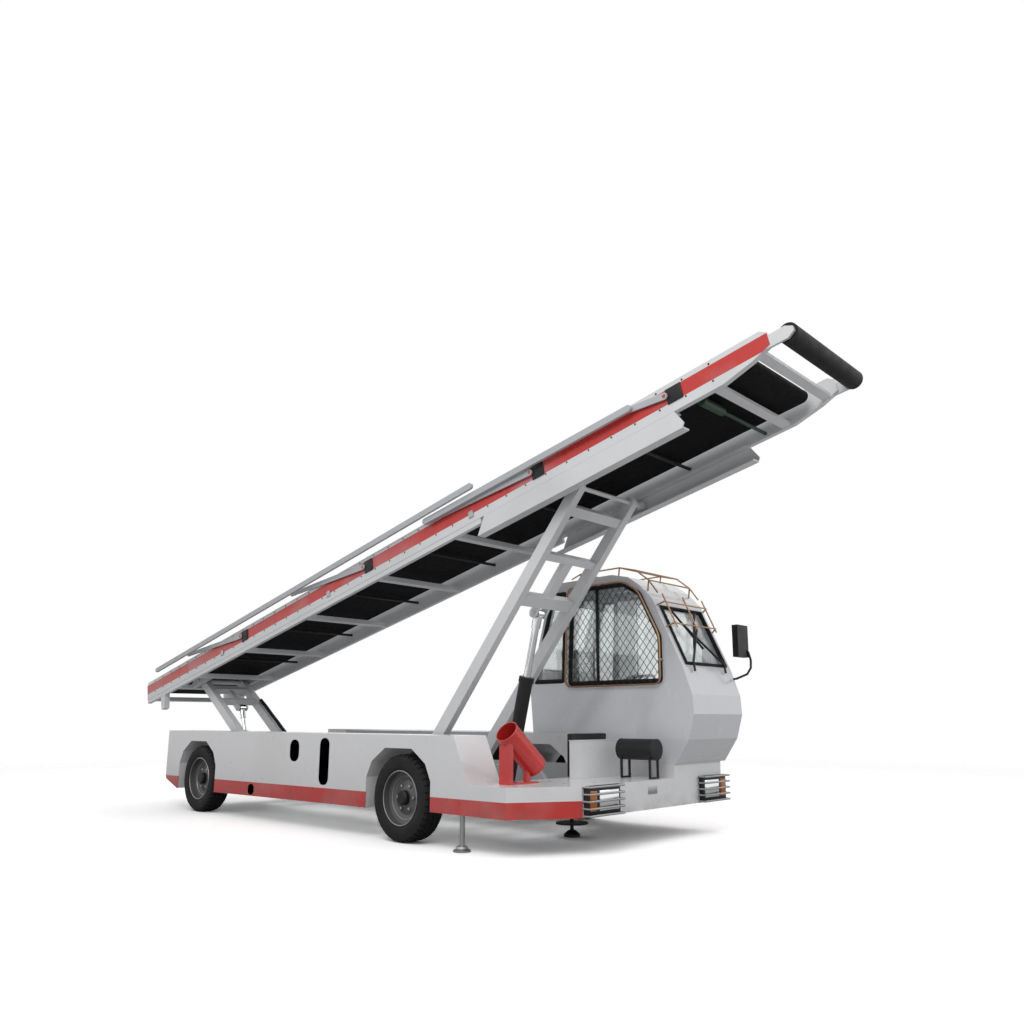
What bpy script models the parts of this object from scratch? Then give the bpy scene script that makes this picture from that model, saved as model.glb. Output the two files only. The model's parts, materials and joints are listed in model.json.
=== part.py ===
"""Baggage belt loader: construction of every sub-part at its real size.

Units are metres, +X is forward, +Y is to the machine's left, +Z is up and the floor is z = 0.
Every object is one closed solid. A moving piece has its origin on its joint's axis.
"""
import math

import bmesh
import bpy
from mathutils import Matrix, Vector

# ---------------------------------------------------------------- driving dimensions
HALF_WIDTH = 1.075
FRONT_AXLE_X = 0.845
WHEELBASE = 3.0
REAR_AXLE_X = FRONT_AXLE_X - WHEELBASE
TYRE_RADIUS = 0.30
TYRE_WIDTH = 0.184
WHEEL_Y = HALF_WIDTH - 0.11
AXLE_Z = TYRE_RADIUS
KINGPIN_Y = 0.875
GAP = 0.0005

BODY_REAR_X = -2.792
BODY_TOP_Z = 0.735
BODY_BOTTOM_Z = 0.195
SIDE_BOX_WIDTH = 0.30
ARCH_HALF = 0.36
ARCH_TOP_Z = 0.642
ARCH_FLAT_HALF = 0.15
ARCH_SHOULDER_Z = 0.43
DECK_Z = 0.427
SKIRT_BOTTOM_Z = 0.233
WALL_TOP_X = 1.428
WALL_FOOT_X = 1.572
CHAMFER_REAR_X = 1.918
FACE_X = 2.196
CHAMFER_FRONT_Y = -0.67
CAB_FOOT_Z = 0.5265

BOOM_Y = -0.41
BOOM_HALF_WIDTH = 0.465
BOOM_PITCH = math.radians(12.87)
BOOM_ORIGIN = (-3.055, 1.271)
BOOM_PIN_W = -0.035
BOOM_REAR_U = -0.815
BOOM_FRONT_U = 6.978
GUARD_TOP_W = 0.148
BEAM_FOOT_W = -0.08
RAIL_REAR_U = 4.555
RAIL_FRONT_U = 6.354
RAIL_FLOOR_W = -0.155
RAIL_ROOF_W = -0.045

FRONT_PIVOT = (0.70, 0.522)
REAR_PIVOT = (-1.755, 0.40)
ROLLER_UW = (5.39, -0.10)
ARM_OUTER = 0.325
ARM_THICK = 0.06
FRONT_EYE_REACH = 1.395
REAR_EYE_REACH = 1.03
FRONT_BASE = (1.2675, 0.33)
REAR_BASE = (-2.33, 0.22)

CAB_RIGHT_Y = 0.375
CAB_LEFT_Y = 1.065
CAB_WALL = 0.035

SHAFT_RADIUS = 0.025
BORE_SPARE = 0.0015
HANDRAIL_PIVOT_W = 0.075
HANDRAIL_PIVOT_US = (1.248, 3.229, 5.145, 6.278)
ARM_REACH = 1.05
ARM_PIN_RADIUS = 0.010

MATERIALS = {
    "white_paint": ((0.80, 0.81, 0.83), 0.35, 0.0),
    "grey_paint": ((0.52, 0.54, 0.56), 0.42, 0.0),
    "red_paint": ((0.62, 0.05, 0.06), 0.35, 0.0),
    "black_paint": ((0.03, 0.03, 0.03), 0.45, 0.0),
    "steel": ((0.55, 0.56, 0.57), 0.32, 1.0),
    "chrome": ((0.80, 0.81, 0.82), 0.12, 1.0),
    "rubber": ((0.025, 0.025, 0.025), 0.80, 0.0),
    "glass": ((0.75, 0.82, 0.82), 0.05, 0.0),
    "green_paint": ((0.06, 0.22, 0.10), 0.50, 0.0),
    "fabric": ((0.03, 0.03, 0.035), 0.85, 0.0),
}


# ---------------------------------------------------------------- solids from outlines
def prism(outline, axis, low, high):
    """Solid of a flat outline pushed along one axis; the outline gives the other two coordinates."""
    places = {"X": lambda a, b, c: (c, a, b), "Y": lambda a, b, c: (a, c, b),
              "Z": lambda a, b, c: (a, b, c)}
    place = places[axis]
    bm = bmesh.new()
    face = bm.faces.new([bm.verts.new(place(a, b, low)) for a, b in outline])
    pushed = bmesh.ops.extrude_face_region(bm, geom=[face])["geom"]
    verts = [item for item in pushed if isinstance(item, bmesh.types.BMVert)]
    bmesh.ops.translate(bm, verts=verts, vec=place(0, 0, high - low))
    return finish_mesh(bm)


def finish_mesh(bm):
    """Turn a bmesh into a linked temporary object with outward faces."""
    bmesh.ops.recalc_face_normals(bm, faces=bm.faces)
    mesh = bpy.data.meshes.new("solid")
    bm.to_mesh(mesh)
    bm.free()
    solid = bpy.data.objects.new("solid", mesh)
    bpy.context.scene.collection.objects.link(solid)
    return solid


def box(x_range, y_range, z_range):
    """Solid box between three pairs of limits."""
    (x_low, x_high), (y_low, y_high) = x_range, y_range
    corners = [(x_low, y_low), (x_high, y_low), (x_high, y_high), (x_low, y_high)]
    return prism(corners, "Z", z_range[0], z_range[1])


def frame_along(direction):
    """Two unit vectors square to a direction."""
    seed = Vector((0, 0, 1)) if abs(direction.z) < 0.9 else Vector((1, 0, 0))
    side = direction.cross(seed).normalized()
    return side, direction.cross(side).normalized()


def ring_points(centre, direction, radius, count):
    """Points of a circle round a centre, square to a direction."""
    side, up = frame_along(direction)
    turns = (2 * math.pi * step / count for step in range(count))
    return [centre + side * (radius * math.cos(t)) + up * (radius * math.sin(t)) for t in turns]


def lathe(profile, start, end, count=32, closed=False):
    """Solid of revolution about the line start-end.

    The profile lists (distance along the line, radius). An open profile begins and ends on the axis;
    a closed one is the section of a ring.
    """
    start, end = Vector(start), Vector(end)
    direction = (end - start).normalized()
    bm = bmesh.new()
    rings = []
    for along, radius in profile:
        centre = start + direction * along
        points = [centre] if radius < 1e-9 else ring_points(centre, direction, radius, count)
        rings.append([bm.verts.new(p) for p in points])
    pairs = list(zip(rings, rings[1:]))
    if closed:
        pairs.append((rings[-1], rings[0]))
    for lower, upper in pairs:
        for step in range(count):
            after = (step + 1) % count
            corners = [lower[step % len(lower)], lower[after % len(lower)],
                       upper[after % len(upper)], upper[step % len(upper)]]
            unique = list(dict.fromkeys(corners))
            if len(unique) > 2:
                bm.faces.new(unique)
    return finish_mesh(bm)


def rod(start, end, radius, count=24):
    """Solid cylinder between two points."""
    length = (Vector(end) - Vector(start)).length
    return lathe([(0, 0), (0, radius), (length, radius), (length, 0)], start, end, count)


def bar(start, end, half, y_low, y_high):
    """Box-section bar between two points (x, z) of a side view."""
    a, b = Vector(start), Vector(end)
    across = Vector((-(b - a).y, (b - a).x)).normalized() * half
    corners = [a + across, a - across, b - across, b + across]
    return prism([tuple(c) for c in corners], "Y", y_low, y_high)


def link_plate(start, end, start_radius, end_radius, y_range, count=12):
    """Flat plate between two pins (x, z) with a round end about each of them."""
    a, b = Vector(start), Vector(end)
    along = (b - a).normalized()
    across = Vector((-along.y, along.x))
    outline = []
    for centre, radius, forward in ((b, end_radius, 1), (a, start_radius, -1)):
        for step in range(count + 1):
            angle = math.pi * step / count
            outline.append(tuple(centre + across * (forward * radius * math.cos(angle))
                                 + along * (forward * radius * math.sin(angle))))
    return prism(outline, "Y", *y_range)


def bent_tube(points, radius, count=10):
    """Solid round tube swept through a short list of points."""
    path = [Vector(p) for p in points]
    bm = bmesh.new()
    rings = []
    for index, point in enumerate(path):
        before = path[max(index - 1, 0)]
        after = path[min(index + 1, len(path) - 1)]
        direction = (after - before).normalized()
        if index == 0:
            side, up = frame_along(direction)
        else:
            side = (side - direction * side.dot(direction)).normalized()
            up = direction.cross(side)
        turns = (2 * math.pi * step / count for step in range(count))
        circle = [point + side * (radius * math.cos(t)) + up * (radius * math.sin(t)) for t in turns]
        rings.append([bm.verts.new(p) for p in circle])
    for lower, upper in zip(rings, rings[1:]):
        for step in range(count):
            after = (step + 1) % count
            bm.faces.new([lower[step], lower[after], upper[after], upper[step]])
    bm.faces.new(rings[0])
    bm.faces.new(rings[-1])
    return finish_mesh(bm)


def combine(base, tools, operation):
    """Apply one Boolean after another to the base and throw the tools away."""
    for tool in tools:
        modifier = base.modifiers.new("combine", "BOOLEAN")
        modifier.operation = operation
        modifier.solver = "EXACT"
        modifier.object = tool
        depsgraph = bpy.context.evaluated_depsgraph_get()
        mesh = bpy.data.meshes.new_from_object(base.evaluated_get(depsgraph))
        base.modifiers.clear()
        base.data = mesh
        bpy.data.objects.remove(tool)
    return base


def fuse(*solids):
    """One solid out of several that pass into each other."""
    return combine(solids[0], solids[1:], "UNION")


def cut(base, *tools):
    """The base without the tools' space."""
    return combine(base, tools, "DIFFERENCE")


def node(name, solid, material, pivot=None):
    """Name a finished solid, give it its material and put its origin on its pivot."""
    solid.name = name
    solid.data.name = name
    solid.data.materials.clear()
    solid.data.materials.append(get_material(material))
    if pivot is not None:
        solid.data.transform(Matrix.Translation(-Vector(pivot)))
        solid.location = pivot


def get_material(name):
    """Principled material of the given name, made once."""
    if name in bpy.data.materials:
        return bpy.data.materials[name]
    colour, roughness, metallic = MATERIALS[name]
    material = bpy.data.materials.new(name)
    material.use_nodes = True
    shader = material.node_tree.nodes["Principled BSDF"]
    shader.inputs["Base Color"].default_value = (*colour, 1.0)
    shader.inputs["Roughness"].default_value = roughness
    shader.inputs["Metallic"].default_value = metallic
    return material


def boom_point(u, w):
    """World (x, z) of a point given along and square to the boom."""
    c, s = math.cos(BOOM_PITCH), math.sin(BOOM_PITCH)
    return (BOOM_ORIGIN[0] + u * c - w * s, BOOM_ORIGIN[1] + u * s + w * c)


def boom_prism(outline, y_low, y_high):
    """Prism across the boom whose outline is given as (u, w)."""
    return prism([boom_point(u, w) for u, w in outline], "Y", y_low, y_high)


def boom_box(u_range, w_range, y_range):
    """Box given in the boom's own directions."""
    (u_low, u_high), (w_low, w_high) = u_range, w_range
    outline = [(u_low, w_low), (u_high, w_low), (u_high, w_high), (u_low, w_high)]
    return boom_prism(outline, y_range[0], y_range[1])


def cross_rod(centre, radius, y_low, y_high, count=24):
    """Round bar across the machine at (x, z)."""
    return rod((centre[0], y_low, centre[1]), (centre[0], y_high, centre[1]), radius, count)


def towards(start, end, reach):
    """Point (x, z) at a distance from start towards end."""
    step = (Vector(end) - Vector(start)).normalized() * reach
    return (start[0] + step.x, start[1] + step.y)


BOOM_PIN = boom_point(0.0, BOOM_PIN_W)
ROLLER = boom_point(*ROLLER_UW)
FRONT_EYE = towards(FRONT_PIVOT, ROLLER, FRONT_EYE_REACH)
REAR_EYE = towards(REAR_PIVOT, BOOM_PIN, REAR_EYE_REACH)


# ---------------------------------------------------------------- wheels, axles and steering
def arch_outline(centre_x, low_z):
    """Wheel arch: straight sides, sloped shoulders and a flat top."""
    right = [(ARCH_HALF, low_z), (ARCH_HALF, ARCH_SHOULDER_Z), (0.30, 0.545), (ARCH_FLAT_HALF, ARCH_TOP_Z)]
    left = [(-x, z) for x, z in reversed(right)]
    return [(centre_x + x, z) for x, z in right + left]


def make_wheel(label, x, side):
    """Tyre and rim of one wheel; side is -1 on the right and +1 on the left."""
    centre = (x, side * WHEEL_Y, AXLE_Z)
    inner = (x, side * (WHEEL_Y - 0.1), AXLE_Z)
    outer = (x, side * (WHEEL_Y + 0.1), AXLE_Z)
    half = TYRE_WIDTH / 2
    tyre = [(0.1 - 0.075, 0.190), (0.1 - 0.088, 0.205), (0.1 - half, 0.245), (0.1 - 0.088, 0.280),
            (0.1 - 0.070, 0.297), (0.1 - 0.040, TYRE_RADIUS), (0.1 + 0.040, TYRE_RADIUS),
            (0.1 + 0.070, 0.297),
            (0.1 + 0.088, 0.280), (0.1 + half, 0.245), (0.1 + 0.088, 0.205), (0.1 + 0.075, 0.190)]
    node("tyre_" + label, lathe(tyre, inner, outer, 56, closed=True), "rubber", centre)
    rim = [(0.02, 0.1895), (0.18, 0.1895), (0.18, 0.181), (0.135, 0.181), (0.115, 0.12), (0.13, 0.06),
           (0.13, 0.035),
           (0.116, 0.035), (0.116, 0.055), (0.100, 0.12), (0.120, 0.181), (0.02, 0.181)]
    node("rim_" + label, lathe(rim, inner, outer, 40, closed=True), "steel", centre)


def spindle(x, side, inner_y):
    """Stub that carries a wheel and its hub cap, from inner_y out through the rim's bore."""
    outward = [(0, 0), (0, 0.034), (1.003 - inner_y, 0.034), (1.003 - inner_y, 0.052),
               (1.025 - inner_y, 0.052),
               (1.035 - inner_y, 0.040), (1.035 - inner_y, 0)]
    return lathe(outward, (x, side * inner_y, AXLE_Z), (x, side * 1.2, AXLE_Z), 24)


def make_knuckle(label, side):
    """Steering knuckle: a fork round the axle's end, its kingpin and the wheel spindle."""
    x = FRONT_AXLE_X
    pin = (x, side * KINGPIN_Y)
    y_in, y_out = sorted((side * (KINGPIN_Y + 0.034), side * (KINGPIN_Y + 0.046)))
    plate = box((x - 0.045, x + 0.045), (y_in, y_out), (AXLE_Z - 0.072, AXLE_Z + 0.072))
    pieces = [plate]
    for low, high in ((-0.072, -0.054), (0.054, 0.072)):
        lug_y = sorted((side * (KINGPIN_Y - 0.022), side * (KINGPIN_Y + 0.040)))
        pieces.append(box((x - 0.028, x + 0.028), lug_y, (AXLE_Z + low + 0.0004, AXLE_Z + high - 0.0004)))
    pieces.append(rod((pin[0], pin[1], AXLE_Z - 0.080), (pin[0], pin[1], AXLE_Z + 0.080), 0.012, 20))
    pieces.append(spindle(x, side, KINGPIN_Y + 0.040))
    arm_y = sorted((side * (KINGPIN_Y + 0.033), side * (KINGPIN_Y + 0.045)))
    pieces.append(box((x - 0.15, x - 0.030), arm_y, (AXLE_Z - 0.050, AXLE_Z - 0.034)))
    node("steering_knuckle_" + label, fuse(*pieces), "black_paint", (x, side * KINGPIN_Y, AXLE_Z))


def make_front_axle():
    """Front axle beam with a kingpin boss at each end and two pads under the frame."""
    x = FRONT_AXLE_X
    beam = box((x - 0.035, x + 0.035), (-KINGPIN_Y + 0.015, KINGPIN_Y - 0.015),
               (AXLE_Z - 0.032, AXLE_Z + 0.032))
    bosses = [rod((x, s * KINGPIN_Y, AXLE_Z - 0.048), (x, s * KINGPIN_Y, AXLE_Z + 0.048), 0.027, 24)
              for s in (-1, 1)]
    pads = [box((x - 0.05, x + 0.05), (y - 0.03, y + 0.03), (AXLE_Z + 0.02, 0.3595))
            for y in (-0.649, 0.345)]
    bores = [rod((x, s * KINGPIN_Y, AXLE_Z - 0.1), (x, s * KINGPIN_Y, AXLE_Z + 0.1), 0.0135, 20)
             for s in (-1, 1)]
    node("front_axle", cut(fuse(beam, *bosses, *pads), *bores), "black_paint")


def make_rear_axle():
    """Drive axle: tube, gear housing and the stubs that carry both wheels."""
    x = REAR_AXLE_X
    end = 1.035
    half = [(0, 0), (0, 0.040), (0.010, 0.052), (0.032, 0.052), (0.032, 0.034), (0.080, 0.034),
            (0.080, 0.140),
            (0.150, 0.140), (0.150, 0.048)]
    housing = [(end - 0.05, 0.048), (end + 0.02, 0.125), (end + 0.14, 0.125), (end + 0.21, 0.048)]
    other_half = [(2 * end - along, radius) for along, radius in reversed(half)]
    turned = lathe(half + housing + other_half, (x, -end, AXLE_Z), (x, end, AXLE_Z), 28)
    pads = [box((x - 0.05, x + 0.05), (y - 0.03, y + 0.03), (AXLE_Z + 0.02, 0.3595))
            for y in (-0.685, 0.345)]
    node("rear_axle", fuse(turned, *pads), "black_paint")


# ---------------------------------------------------------------- chassis and body
def make_chassis_frame():
    """Three long rails, the cross members, the lift pivots and the cylinder mounts as one weldment."""
    front_rail = [(-1.42, 0.36), (1.16, 0.36), (1.22, 0.27), (2.12, 0.27), (2.12, 0.41), (1.45, 0.41),
                  (1.36, 0.50),
                  (0.86, 0.50), (0.80, 0.575), (0.60, 0.575), (0.54, 0.50), (-1.42, 0.50)]
    rear_rail = [(-2.77, 0.36), (-1.30, 0.36), (-1.30, 0.50), (-2.77, 0.50)]
    left_rail = [(-2.77, 0.36), (1.16, 0.36), (1.22, 0.27), (2.12, 0.27), (2.12, 0.41), (1.45, 0.41),
                 (1.36, 0.50),
                 (-2.77, 0.50)]
    pieces = [prism(left_rail, "Y", 0.327, 0.363)]
    pieces += [prism(front_rail, "Y", low, low + 0.036) for low in (-0.667, -0.189)]
    pieces += [prism(rear_rail, "Y", low, low + 0.036) for low in (-0.703, -0.153)]
    cross = {"rear": (-2.76, 0.45), "behind axle": (-2.63, 0.40), "jog": (-1.36, 0.43),
             "middle": (-0.45, 0.43), "before axle": (0.36, 0.43), "front": (1.50, 0.33)}
    for x, z in cross.values():
        pieces.append(box((x - 0.025, x + 0.031), (-0.774, 0.374), (z - 0.034, z + 0.036)))
    pieces.append(box((2.055, 2.111), (-0.70, 0.374), (0.296, 0.366)))
    pieces.append(cross_rod(FRONT_PIVOT, SHAFT_RADIUS, -0.745, -0.075))
    pieces.append(cross_rod(REAR_PIVOT, SHAFT_RADIUS, -0.690, -0.130))
    pieces.append(cross_rod(FRONT_BASE, SHAFT_RADIUS, -0.650, -0.170))
    pieces.append(cross_rod(REAR_BASE, SHAFT_RADIUS, -0.690, -0.130))
    hanger = [(-2.52, 0.45), (-2.39, 0.17), (-2.27, 0.17), (-2.25, 0.45)]
    pieces += [prism(hanger, "Y", low, low + 0.028) for low in (-0.699, -0.149)]
    sleeve = rod((1.528, 0.018, 0.245), (1.528, 0.018, 0.40), 0.035, 24)
    frame = fuse(*pieces, sleeve)
    node("chassis_frame", cut(frame, rod((1.528, 0.018, 0.2), (1.528, 0.018, 0.5), 0.019, 24)),
         "grey_paint")


def make_right_body_side():
    """Closed side box of the right side with its two wheel arches, raked front wall and front skirt."""
    outline = [(BODY_REAR_X, BODY_TOP_Z), (WALL_TOP_X, BODY_TOP_Z), (WALL_FOOT_X, DECK_Z),
               (CHAMFER_REAR_X, DECK_Z),
               (CHAMFER_REAR_X, SKIRT_BOTTOM_Z), (FRONT_AXLE_X + 0.2, SKIRT_BOTTOM_Z),
               (FRONT_AXLE_X - 0.2, 0.215),
               (REAR_AXLE_X, BODY_BOTTOM_Z), (-2.538, BODY_BOTTOM_Z), (-2.774, 0.272), (BODY_REAR_X, 0.30)]
    side = prism(outline, "Y", -HALF_WIDTH, -HALF_WIDTH + SIDE_BOX_WIDTH)
    arches = [prism(arch_outline(x, 0.1), "Y", -1.2, -0.6) for x in (FRONT_AXLE_X, REAR_AXLE_X)]
    jack_bore = rod((1.465, -1.015, 0.1), (1.465, -1.015, 0.54), 0.020, 20)
    lower_void = box((-1.70, 0.40), (-HALF_WIDTH + 0.012, -0.79), (0.1, 0.35))
    node("right_body_side", cut(side, *arches, jack_bore, lower_void), "white_paint")


def make_left_body_side():
    """Side box of the left side, widened under the cab."""
    slim = [(BODY_REAR_X, BODY_TOP_Z), (0.55, BODY_TOP_Z), (0.55, 0.21), (REAR_AXLE_X, BODY_BOTTOM_Z),
            (-2.538, BODY_BOTTOM_Z), (-2.774, 0.272), (BODY_REAR_X, 0.30)]
    plinth = [(0.44, BODY_TOP_Z), (1.25, BODY_TOP_Z), (1.32, CAB_FOOT_Z - GAP), (1.795, CAB_FOOT_Z - GAP),
              (1.795, SKIRT_BOTTOM_Z), (0.44, 0.2105)]
    side = prism(slim, "Y", HALF_WIDTH - SIDE_BOX_WIDTH, HALF_WIDTH)
    wide = prism(plinth, "Y", CAB_RIGHT_Y, HALF_WIDTH)
    arches = [prism(arch_outline(x, 0.1), "Y", 0.2, 1.2) for x in (FRONT_AXLE_X, REAR_AXLE_X)]
    void = box((-1.70, 0.30), (0.79, HALF_WIDTH - 0.012), (0.1, 0.35))
    node("left_body_side", cut(fuse(side, wide), *arches, void), "white_paint")


def make_front_deck():
    """Open-bottomed nose: the low deck, the chamfered corner, the front face and the cab's front foot."""
    wall = 0.008
    outline = [(1.5755, -0.774), (CHAMFER_REAR_X + GAP, -0.774), (CHAMFER_REAR_X + GAP, -HALF_WIDTH),
               (FACE_X, CHAMFER_FRONT_Y), (FACE_X, 1.02), (2.15, HALF_WIDTH), (1.7955, HALF_WIDTH),
               (1.7955, 0.374),
               (1.5755, 0.374)]
    foot = [(1.7955, 0.3755), (FACE_X, 0.3755), (FACE_X, 1.02), (2.15, HALF_WIDTH), (1.7955, HALF_WIDTH)]
    shell = fuse(prism(outline, "Z", SKIRT_BOTTOM_Z, DECK_Z),
                 prism(foot, "Z", SKIRT_BOTTOM_Z, CAB_FOOT_Z - GAP))
    hollow = [(1.5, -0.80), (CHAMFER_REAR_X + wall, -0.80), (CHAMFER_REAR_X + wall, -1.047),
              (FACE_X - wall, -0.66), (FACE_X - wall, 1.012), (2.14, HALF_WIDTH - wall),
              (1.81, HALF_WIDTH - wall),
              (1.81, 0.372), (1.5, 0.372)]
    node("front_deck", cut(shell, prism(hollow, "Z", 0.1, DECK_Z - wall)), "white_paint")


def make_body_fittings():
    """Rear cross wall, battery block, its hinged cover, and the two parking jacks."""
    wall = box((BODY_REAR_X + 0.002, -2.7865), (-0.7745, 0.7745), (0.25, 0.66))
    node("rear_panel", wall, "white_paint")
    node("battery_block", box((-1.70, 0.30), (0.376, 0.765), (0.20, 0.69)), "black_paint")
    cover = box((-1.76, 0.38), (0.30, 0.768), (0.700, 0.735))
    node("battery_cover", cover, "grey_paint", (-0.69, 0.768, 0.735))
    foot = [(0, 0), (0, 0.058), (0.010, 0.058), (0.020, 0.040), (0.034, 0.036), (0.040, 0.017),
            (0.40, 0.017),
            (0.40, 0)]
    node("jack_right", lathe(foot, (1.465, -1.015, 0), (1.465, -1.015, 1), 24), "steel",
         (1.465, -1.015, 0.0))
    centre = [(0, 0), (0, 0.060), (0.020, 0.060), (0.045, 0.030), (0.050, 0.014), (0.090, 0.014),
              (0.090, 0.120),
              (0.102, 0.120), (0.102, 0.014), (0.40, 0.014), (0.40, 0)]
    node("jack_front", lathe(centre, (1.528, 0.018, 0), (1.528, 0.018, 1), 24), "black_paint",
         (1.528, 0.018, 0.0))


def make_deck_equipment():
    """Control box, tank on its stand and the open extinguisher tube on its bracket."""
    node("control_box", box((1.665, 1.745), (-0.165, 0.330), (DECK_Z + GAP, 0.690)), "white_paint")
    tank = rod((1.86, 0.20, 0.63), (2.17, 0.20, 0.63), 0.075, 32)
    legs = [box((x, x + 0.014), (y, y + 0.014), (DECK_Z + GAP, 0.60)) for x in (1.885, 2.135)
            for y in (0.145, 0.241)]
    feet = [box((x, x + 0.014), (0.146, 0.254), (DECK_Z + GAP + 0.0005, 0.440)) for x in (1.8855, 2.1355)]
    node("hydraulic_tank", fuse(tank, *legs, *feet), "black_paint")
    mouth, heel = Vector((1.75, -0.90, 0.765)), Vector((1.75, -0.62, 0.530))
    along = (heel - mouth).normalized()
    radius, wall = 0.080, 0.006
    foot = DECK_Z + GAP
    angle = [(-0.915, foot), (-0.640, foot), (-0.640, foot + 0.010), (-0.885, foot + 0.010),
             (-0.885, 0.720), (-0.915, 0.720)]
    rest = box((1.732, 1.768), (-0.720, -0.690), (foot + 0.005, 0.540))
    solid = fuse(rod(mouth, heel, radius, 32), prism(angle, "X", 1.700, 1.800), rest)
    bore = rod(mouth - along * 0.05, heel - along * 0.012, radius - wall, 32)
    node("extinguisher_holder", cut(solid, bore), "red_paint")


# ---------------------------------------------------------------- lifting gear
def lift_arms(pivot, tip, near_y, far_y, half, boss):
    """Both arms of a lift frame with round ends; each arm is given by its right face."""
    return [link_plate(pivot, tip, boss, half, (y, y + ARM_THICK), 14) for y in (near_y, far_y)]


def cross_member(pivot, tip, reach, half_along, half_across, y_low, y_high):
    """Box across the frame at a reach along its arms."""
    start = towards(pivot, tip, reach - half_along)
    end = towards(pivot, tip, reach + half_along)
    return bar(start, end, half_across, y_low, y_high)


def eye_lugs(eye, anchor, radius, y_centre, spread, thick):
    """Two cheek plates from a cross member to a cylinder's pin, with the pin's heads outside them."""
    solids = []
    for y_mid in (y_centre - spread, y_centre + spread):
        solids.append(link_plate(anchor, eye, 0.8 * radius, radius, (y_mid - thick / 2, y_mid + thick / 2)))
        outside = math.copysign(thick / 2 + 0.012, y_mid - y_centre)
        solids.append(cross_rod(eye, 0.018, *sorted((y_mid, y_mid + outside)), 20))
    return solids


def make_front_lift_frame():
    """Long lift frame: arms, three cross members, centre stub, cylinder lugs and the guide rollers."""
    near_y, far_y = BOOM_Y - ARM_OUTER, BOOM_Y + ARM_OUTER - ARM_THICK
    pieces = lift_arms(FRONT_PIVOT, ROLLER, near_y, far_y, 0.040, 0.050)
    length = (Vector(ROLLER) - Vector(FRONT_PIVOT)).length
    span = (near_y + 0.05, far_y + 0.01)
    for reach, along, across in ((length - 0.17, 0.035, 0.028), (1.86, 0.028, 0.026), (1.50, 0.045, 0.030)):
        pieces.append(cross_member(FRONT_PIVOT, ROLLER, reach, along, across, *span))
    pieces.append(cross_member(FRONT_PIVOT, ROLLER, 1.68, 0.17, 0.024, BOOM_Y - 0.04, BOOM_Y + 0.04))
    anchor = towards(FRONT_PIVOT, ROLLER, 1.49)
    pieces += eye_lugs(FRONT_EYE, anchor, 0.036, BOOM_Y, 0.052, 0.016)
    pieces.append(cross_rod(ROLLER, 0.016, BOOM_Y - 0.44, BOOM_Y + 0.44, 20))
    for side in (-1, 1):
        y_low, y_high = sorted((BOOM_Y + side * 0.388, BOOM_Y + side * 0.445))
        pieces.append(cross_rod(ROLLER, 0.032, y_low, y_high, 28))
    frame = cut(fuse(*pieces), cross_rod(FRONT_PIVOT, SHAFT_RADIUS + BORE_SPARE, -0.80, -0.02, 28))
    node("front_lift_frame", frame, "white_paint", (FRONT_PIVOT[0], BOOM_Y, FRONT_PIVOT[1]))


def make_rear_lift_frame():
    """Short lift frame: arms, cross members, centre web, cylinder lugs and the boom's pivot shaft."""
    near_y, far_y = -0.655, -0.225
    pieces = lift_arms(REAR_PIVOT, BOOM_PIN, near_y, far_y, 0.042, 0.048)
    length = (Vector(BOOM_PIN) - Vector(REAR_PIVOT)).length
    span = (near_y + 0.05, far_y + 0.01)
    for reach in (length - 0.17, 1.15):
        pieces.append(cross_member(REAR_PIVOT, BOOM_PIN, reach, 0.022, 0.030, *span))
    pieces.append(cross_member(REAR_PIVOT, BOOM_PIN, 1.262, 0.105, 0.021, BOOM_Y - 0.02, BOOM_Y + 0.02))
    anchor = towards(REAR_PIVOT, BOOM_PIN, 1.135)
    pieces += eye_lugs(REAR_EYE, anchor, 0.032, BOOM_Y, 0.045, 0.014)
    pieces.append(cross_rod(BOOM_PIN, SHAFT_RADIUS, -0.700, -0.120))
    frame = cut(fuse(*pieces), cross_rod(REAR_PIVOT, SHAFT_RADIUS + BORE_SPARE, -0.75, -0.05, 28))
    node("rear_lift_frame", frame, "white_paint", (REAR_PIVOT[0], BOOM_Y, REAR_PIVOT[1]))


def make_cylinder(label, base, eye, barrel_radius, barrel_length, rod_radius):
    """Hydraulic cylinder: barrel with its lower eye, and rod with its upper eye."""
    start, end = Vector((base[0], BOOM_Y, base[1])), Vector((eye[0], BOOM_Y, eye[1]))
    direction = (end - start).normalized()
    reach = (end - start).length
    tube = [(0.030, 0), (0.030, barrel_radius), (barrel_length - 0.04, barrel_radius),
            (barrel_length - 0.04, barrel_radius + 0.006), (barrel_length, barrel_radius + 0.006),
            (barrel_length, rod_radius + 0.002), (0.075, rod_radius + 0.002), (0.075, 0)]
    barrel = fuse(lathe(tube, start, end, 28), cross_rod(base, 0.045, BOOM_Y - 0.03, BOOM_Y + 0.03, 28))
    barrel = cut(barrel, cross_rod(base, SHAFT_RADIUS + BORE_SPARE, BOOM_Y - 0.1, BOOM_Y + 0.1, 28))
    node(label + "_barrel", barrel, "black_paint", tuple(start))
    stem = [(barrel_length - 0.24, 0), (barrel_length - 0.24, rod_radius), (reach - 0.11, rod_radius),
            (reach - 0.11, rod_radius + 0.008), (reach - 0.020, rod_radius + 0.008), (reach - 0.020, 0)]
    piston = fuse(lathe(stem, start, end, 24), cross_rod(eye, 0.036, BOOM_Y - 0.03, BOOM_Y + 0.03, 24))
    node(label + "_rod", piston, "chrome", tuple(end))


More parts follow.
